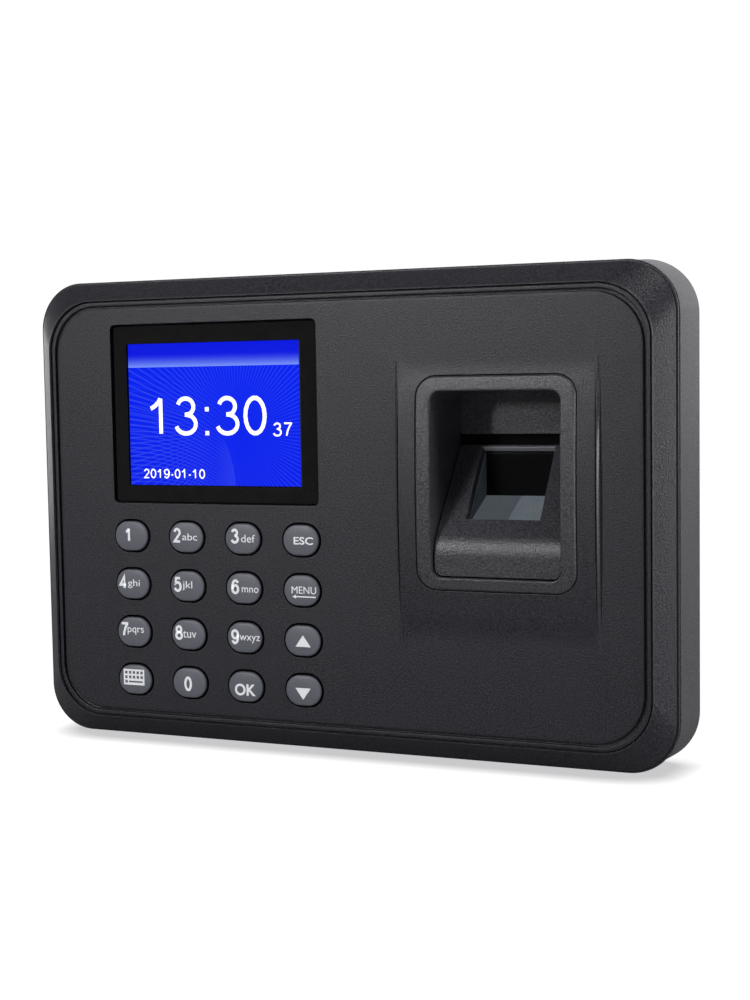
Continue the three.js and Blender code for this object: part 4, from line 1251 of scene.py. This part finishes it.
# Where each key's figure is centred (x, z) from the key's centre. Figures are bold.
KEY_FIGURES = {
    "1": (-0.55, 0.35), "2": (-2.35, 0.55), "3": (-1.9, 0.7), "4": (-2.6, 0.5), "5": (-2.5, 0.45),
    "6": (-2.1, 0.4), "7": (-2.55, 0.6), "8": (-2.5, 0.5), "9": (-2.45, 0.2), "0": (-0.2, -0.15),
}
KEY_FIGURE_SIZE = (2.25, 3.8)
KEY_FIGURE_STROKE = 0.64
# Letters, with their centre from the key's centre, width, height and extra weight.
KEY_LETTERS = {
    "key_2": ("abc", 1.3, 0.2, 4.3, 1.8), "key_3": ("def", 1.8, 0.15, 3.9, 1.95),
    "key_esc": ("ESC", 0.95, -0.05, 5.3, 1.9, 0.05), "key_4": ("ghi", 0.6, 0.1, 3.6, 2.3),
    "key_5": ("jkl", 0.3, 0.15, 2.8, 2.4), "key_6": ("mno", 2.1, -0.3, 4.7, 1.3),
    "key_menu": ("MENU", 0.85, 0.2, 6.7, 1.8), "key_7": ("pqrs", 0.8, 0.25, 4.9, 1.9),
    "key_8": ("tuv", 0.6, 0.15, 3.9, 1.8), "key_9": ("wxyz", 1.7, -0.3, 5.8, 1.9),
    "key_ok": ("OK", 0.1, -0.7, 5.9, 3.0, 0.11),
}


def rectangle(u, v, half_w, half_h):
    return [(u - half_w, v - half_h), (u + half_w, v - half_h),
            (u + half_w, v + half_h), (u - half_w, v + half_h)]


def keyboard_icon():
    """A filled keyboard whose keys are holes."""
    loops = [rectangle(0, 0, 3.1, 2.05)]
    for row in range(2):
        loops += [rectangle(-2.3 + 1.15 * i, 1.2 - row * 1.2, 0.36, 0.38) for i in range(5)]
    loops += [rectangle(-2.3, -1.2, 0.36, 0.38), rectangle(0.5, -1.2, 2.1, 0.22)]
    return loops


def build_legends():
    """Figures, letters and signs on the keys."""
    for text, (dx, dz) in KEY_FIGURES.items():
        key = "key_" + text
        box = node_outline(key, 0)
        figures(f"figure_{key}", text, box.x + dx, box.z + dz, *KEY_FIGURE_SIZE, KEY_FIGURE_STROKE,
                node_depths(key)[0] - 0.02, LEGEND_INK_PAINTED_GLOW, body=key)
    for key, (text, dx, dz, width, height, *weight) in KEY_LETTERS.items():
        box = node_outline(key, 0)
        lettering(f"letters_{key}", text, box.x + dx, box.z + dz, width, height,
                  node_depths(key)[0] - 0.01, LEGEND_INK_PAINTED_GLOW, key, *weight)
    arrow = [(-3.2, 0), (-2.2, 0.5), (-2.2, 0.15), (3.2, 0.15), (3.2, -0.15), (-2.2, -0.15),
             (-2.2, -0.5)]
    triangle = [(-2.1, -1.45), (2.1, -1.45), (0, 1.45)]
    flipped = [(u, -v) for u, v in reversed(triangle)]
    icons = [
        ("legend_menu_arrow", "key_menu", [arrow], 0.85, -1.45),
        ("legend_up", "key_up", [triangle], 0.35, 0.0),
        ("legend_down", "key_down", [flipped], 0.1, -0.75),
        ("legend_keyboard", "key_input", keyboard_icon(), -0.1, 0.65),
    ]
    for name, key, loops, dx, dz in icons:
        box = node_outline(key, 0)
        drawing(name, loops, box.x + dx, box.z + dz, node_depths(key)[0] - 0.01, LEGEND_INK_PAINTED_GLOW, key)


def build_display_text():
    """Clock digits on the lit display, placed by their share of its width and height."""
    picture = node_outline("lcd_panel", 0)
    depth = node_depths("lcd_panel")[0] - 0.05
    lines = [
        ("clock_digits", "13:30", 0.118, 0.80, 0.374, 0.65, 1.08),
        ("second_digits", "37", 0.835, 0.94, 0.56, 0.657, 0.45),
        ("date_digits", "2019-01-10", 0.078, 0.44, 0.885, 0.953, 0.33),
    ]
    for name, text, left, right, top, bottom, stroke in lines:
        x = picture.x + ((left + right) / 2 - 0.5) * LCD_WIDTH
        z = picture.z - ((top + bottom) / 2 - 0.5) * LCD_HEIGHT
        figures(name, text, x, z, (right - left) * LCD_WIDTH, (bottom - top) * LCD_HEIGHT, stroke,
                depth, LIT)


# ---------------------------------------------------------------- CAD nodes that stay

def dress_cad_nodes():
    """Gives every CAD node that stays its material, rounded edges and smooth shading."""
    slots = {part["node"]: part["material_slot"] for part in frame["record"]["subparts"]}
    widths = {"wall_plate": 0.25, "display_lens": 0.2, "battery_holder": 0.25}
    for name, node in frame["nodes"].items():
        node.data.materials.clear()
        node.data.materials.append(SLOT_MATERIALS[slots[name]])
        for polygon in node.data.polygons:
            polygon.use_smooth = True
        if node.hide_render:
            continue
        planar = node.modifiers.new("merge flat faces", "DECIMATE")
        planar.decimate_type = "DISSOLVE"
        planar.angle_limit = math.radians(1.0)
        add_bevel(node, widths.get(name, 0.12), segments=2, angle=35)


# ---------------------------------------------------------------- studio

# Camera: place in metres, then turns in degrees.
CAMERA_PLACE = (0.1671, -0.3897, 0.0326)
CAMERA_YAW = 23.33
CAMERA_PITCH = -4.21
CAMERA_ROLL = -0.92
CAMERA_LENS = 58.465


def build_camera():
    """Camera at the angle of the reference view."""
    data = bpy.data.cameras.new("camera")
    data.lens = CAMERA_LENS
    data.sensor_width = 36
    data.clip_start, data.clip_end = 0.01, 10
    camera = new_object("camera", data)
    turned = Matrix.Translation(CAMERA_PLACE)
    for degrees, axis in ((CAMERA_YAW, "Z"), (90 + CAMERA_PITCH, "X"), (CAMERA_ROLL, "Z")):
        turned = turned @ Matrix.Rotation(math.radians(degrees), 4, axis)
    camera.matrix_world = turned
    bpy.context.scene.camera = camera


# Name, direction round the object (0 is in front, 90 to its right), height angle, distance,
# width, height (metres) and power.
LIGHTS = [
    ("key", -23, 12, 1.2, 0.10, 0.14, 1.9),
    ("key_upper", -23, 29, 1.2, 0.30, 0.20, 3.9),
    ("left_rim", -125, 4, 0.8, 0.30, 0.60, 1.4),
    ("right_front", 35, 6, 0.9, 0.30, 0.5, 0.35),
    ("right_side", 84, 6, 0.9, 0.20, 0.5, 2.3),
    ("right_rear", 110, 6, 0.9, 0.35, 0.5, 1.5),
    ("top_right", 70, 55, 1.0, 0.25, 0.25, 2.0),
    ("below", -10, -30, 1.0, 0.6, 0.4, 0.45),
]
# Strength of the pale room in front of the object and of the white backdrop behind it.
FRONT_GLOW = 0.02
BACKDROP = 1.15


def build_lights():
    """Soft boxes round the object, all facing it and out of the camera's sight."""
    for name, around, above, distance, width, height, power in LIGHTS:
        data = bpy.data.lights.new(name, "AREA")
        data.shape = "RECTANGLE"
        data.size, data.size_y = width, height
        data.energy = power
        light = new_object(name, data)
        around, above = math.radians(around), math.radians(above)
        towards = Vector((math.sin(around) * math.cos(above), -math.cos(around) * math.cos(above),
                          math.sin(above)))
        light.matrix_world = (Matrix.Translation(towards * distance)
                              @ towards.to_track_quat("Z", "Y").to_matrix().to_4x4())
        light.visible_camera = False


def build_room():
    """Floor under the object, and a world that is white to the camera and pale behind it."""
    low = cad_bounds[0].z
    data = bpy.data.meshes.new("floor")
    half = 4.0
    corners = [(-half, -half, low), (half, -half, low), (half, half, low), (-half, half, low)]
    data.from_pydata(corners, [], [(0, 1, 2, 3)])
    data.materials.append(studio_floor("floor"))
    floor = new_object("floor", data)
    floor.visible_shadow = False
    n = Nodes("studio", world=True)
    towards_back = n.add("SeparateXYZ", {0: n.add("TexCoord").outputs["Generated"]}).outputs[1]
    strength = n.between(towards_back, FRONT_GLOW, BACKDROP, 0.1, 0.7)
    felt = n.add("Background", {0: rgb(1.0, 1.0, 1.03), 1: strength})
    seen = n.add("Background", {0: rgb(1, 1, 1), 1: 1.02})
    bpy.context.scene.world = n.split(felt, seen)
    bpy.context.scene.view_settings.view_transform = "Standard"


build_front_shell()
build_back_shell()
build_lens_print()
build_scanner_bezel()
build_finger_guide()
build_sensor()
for key_name in key_names:
    build_key(key_name)
build_legends()
build_display_text()
dress_cad_nodes()
build_camera()
build_lights()
build_room()
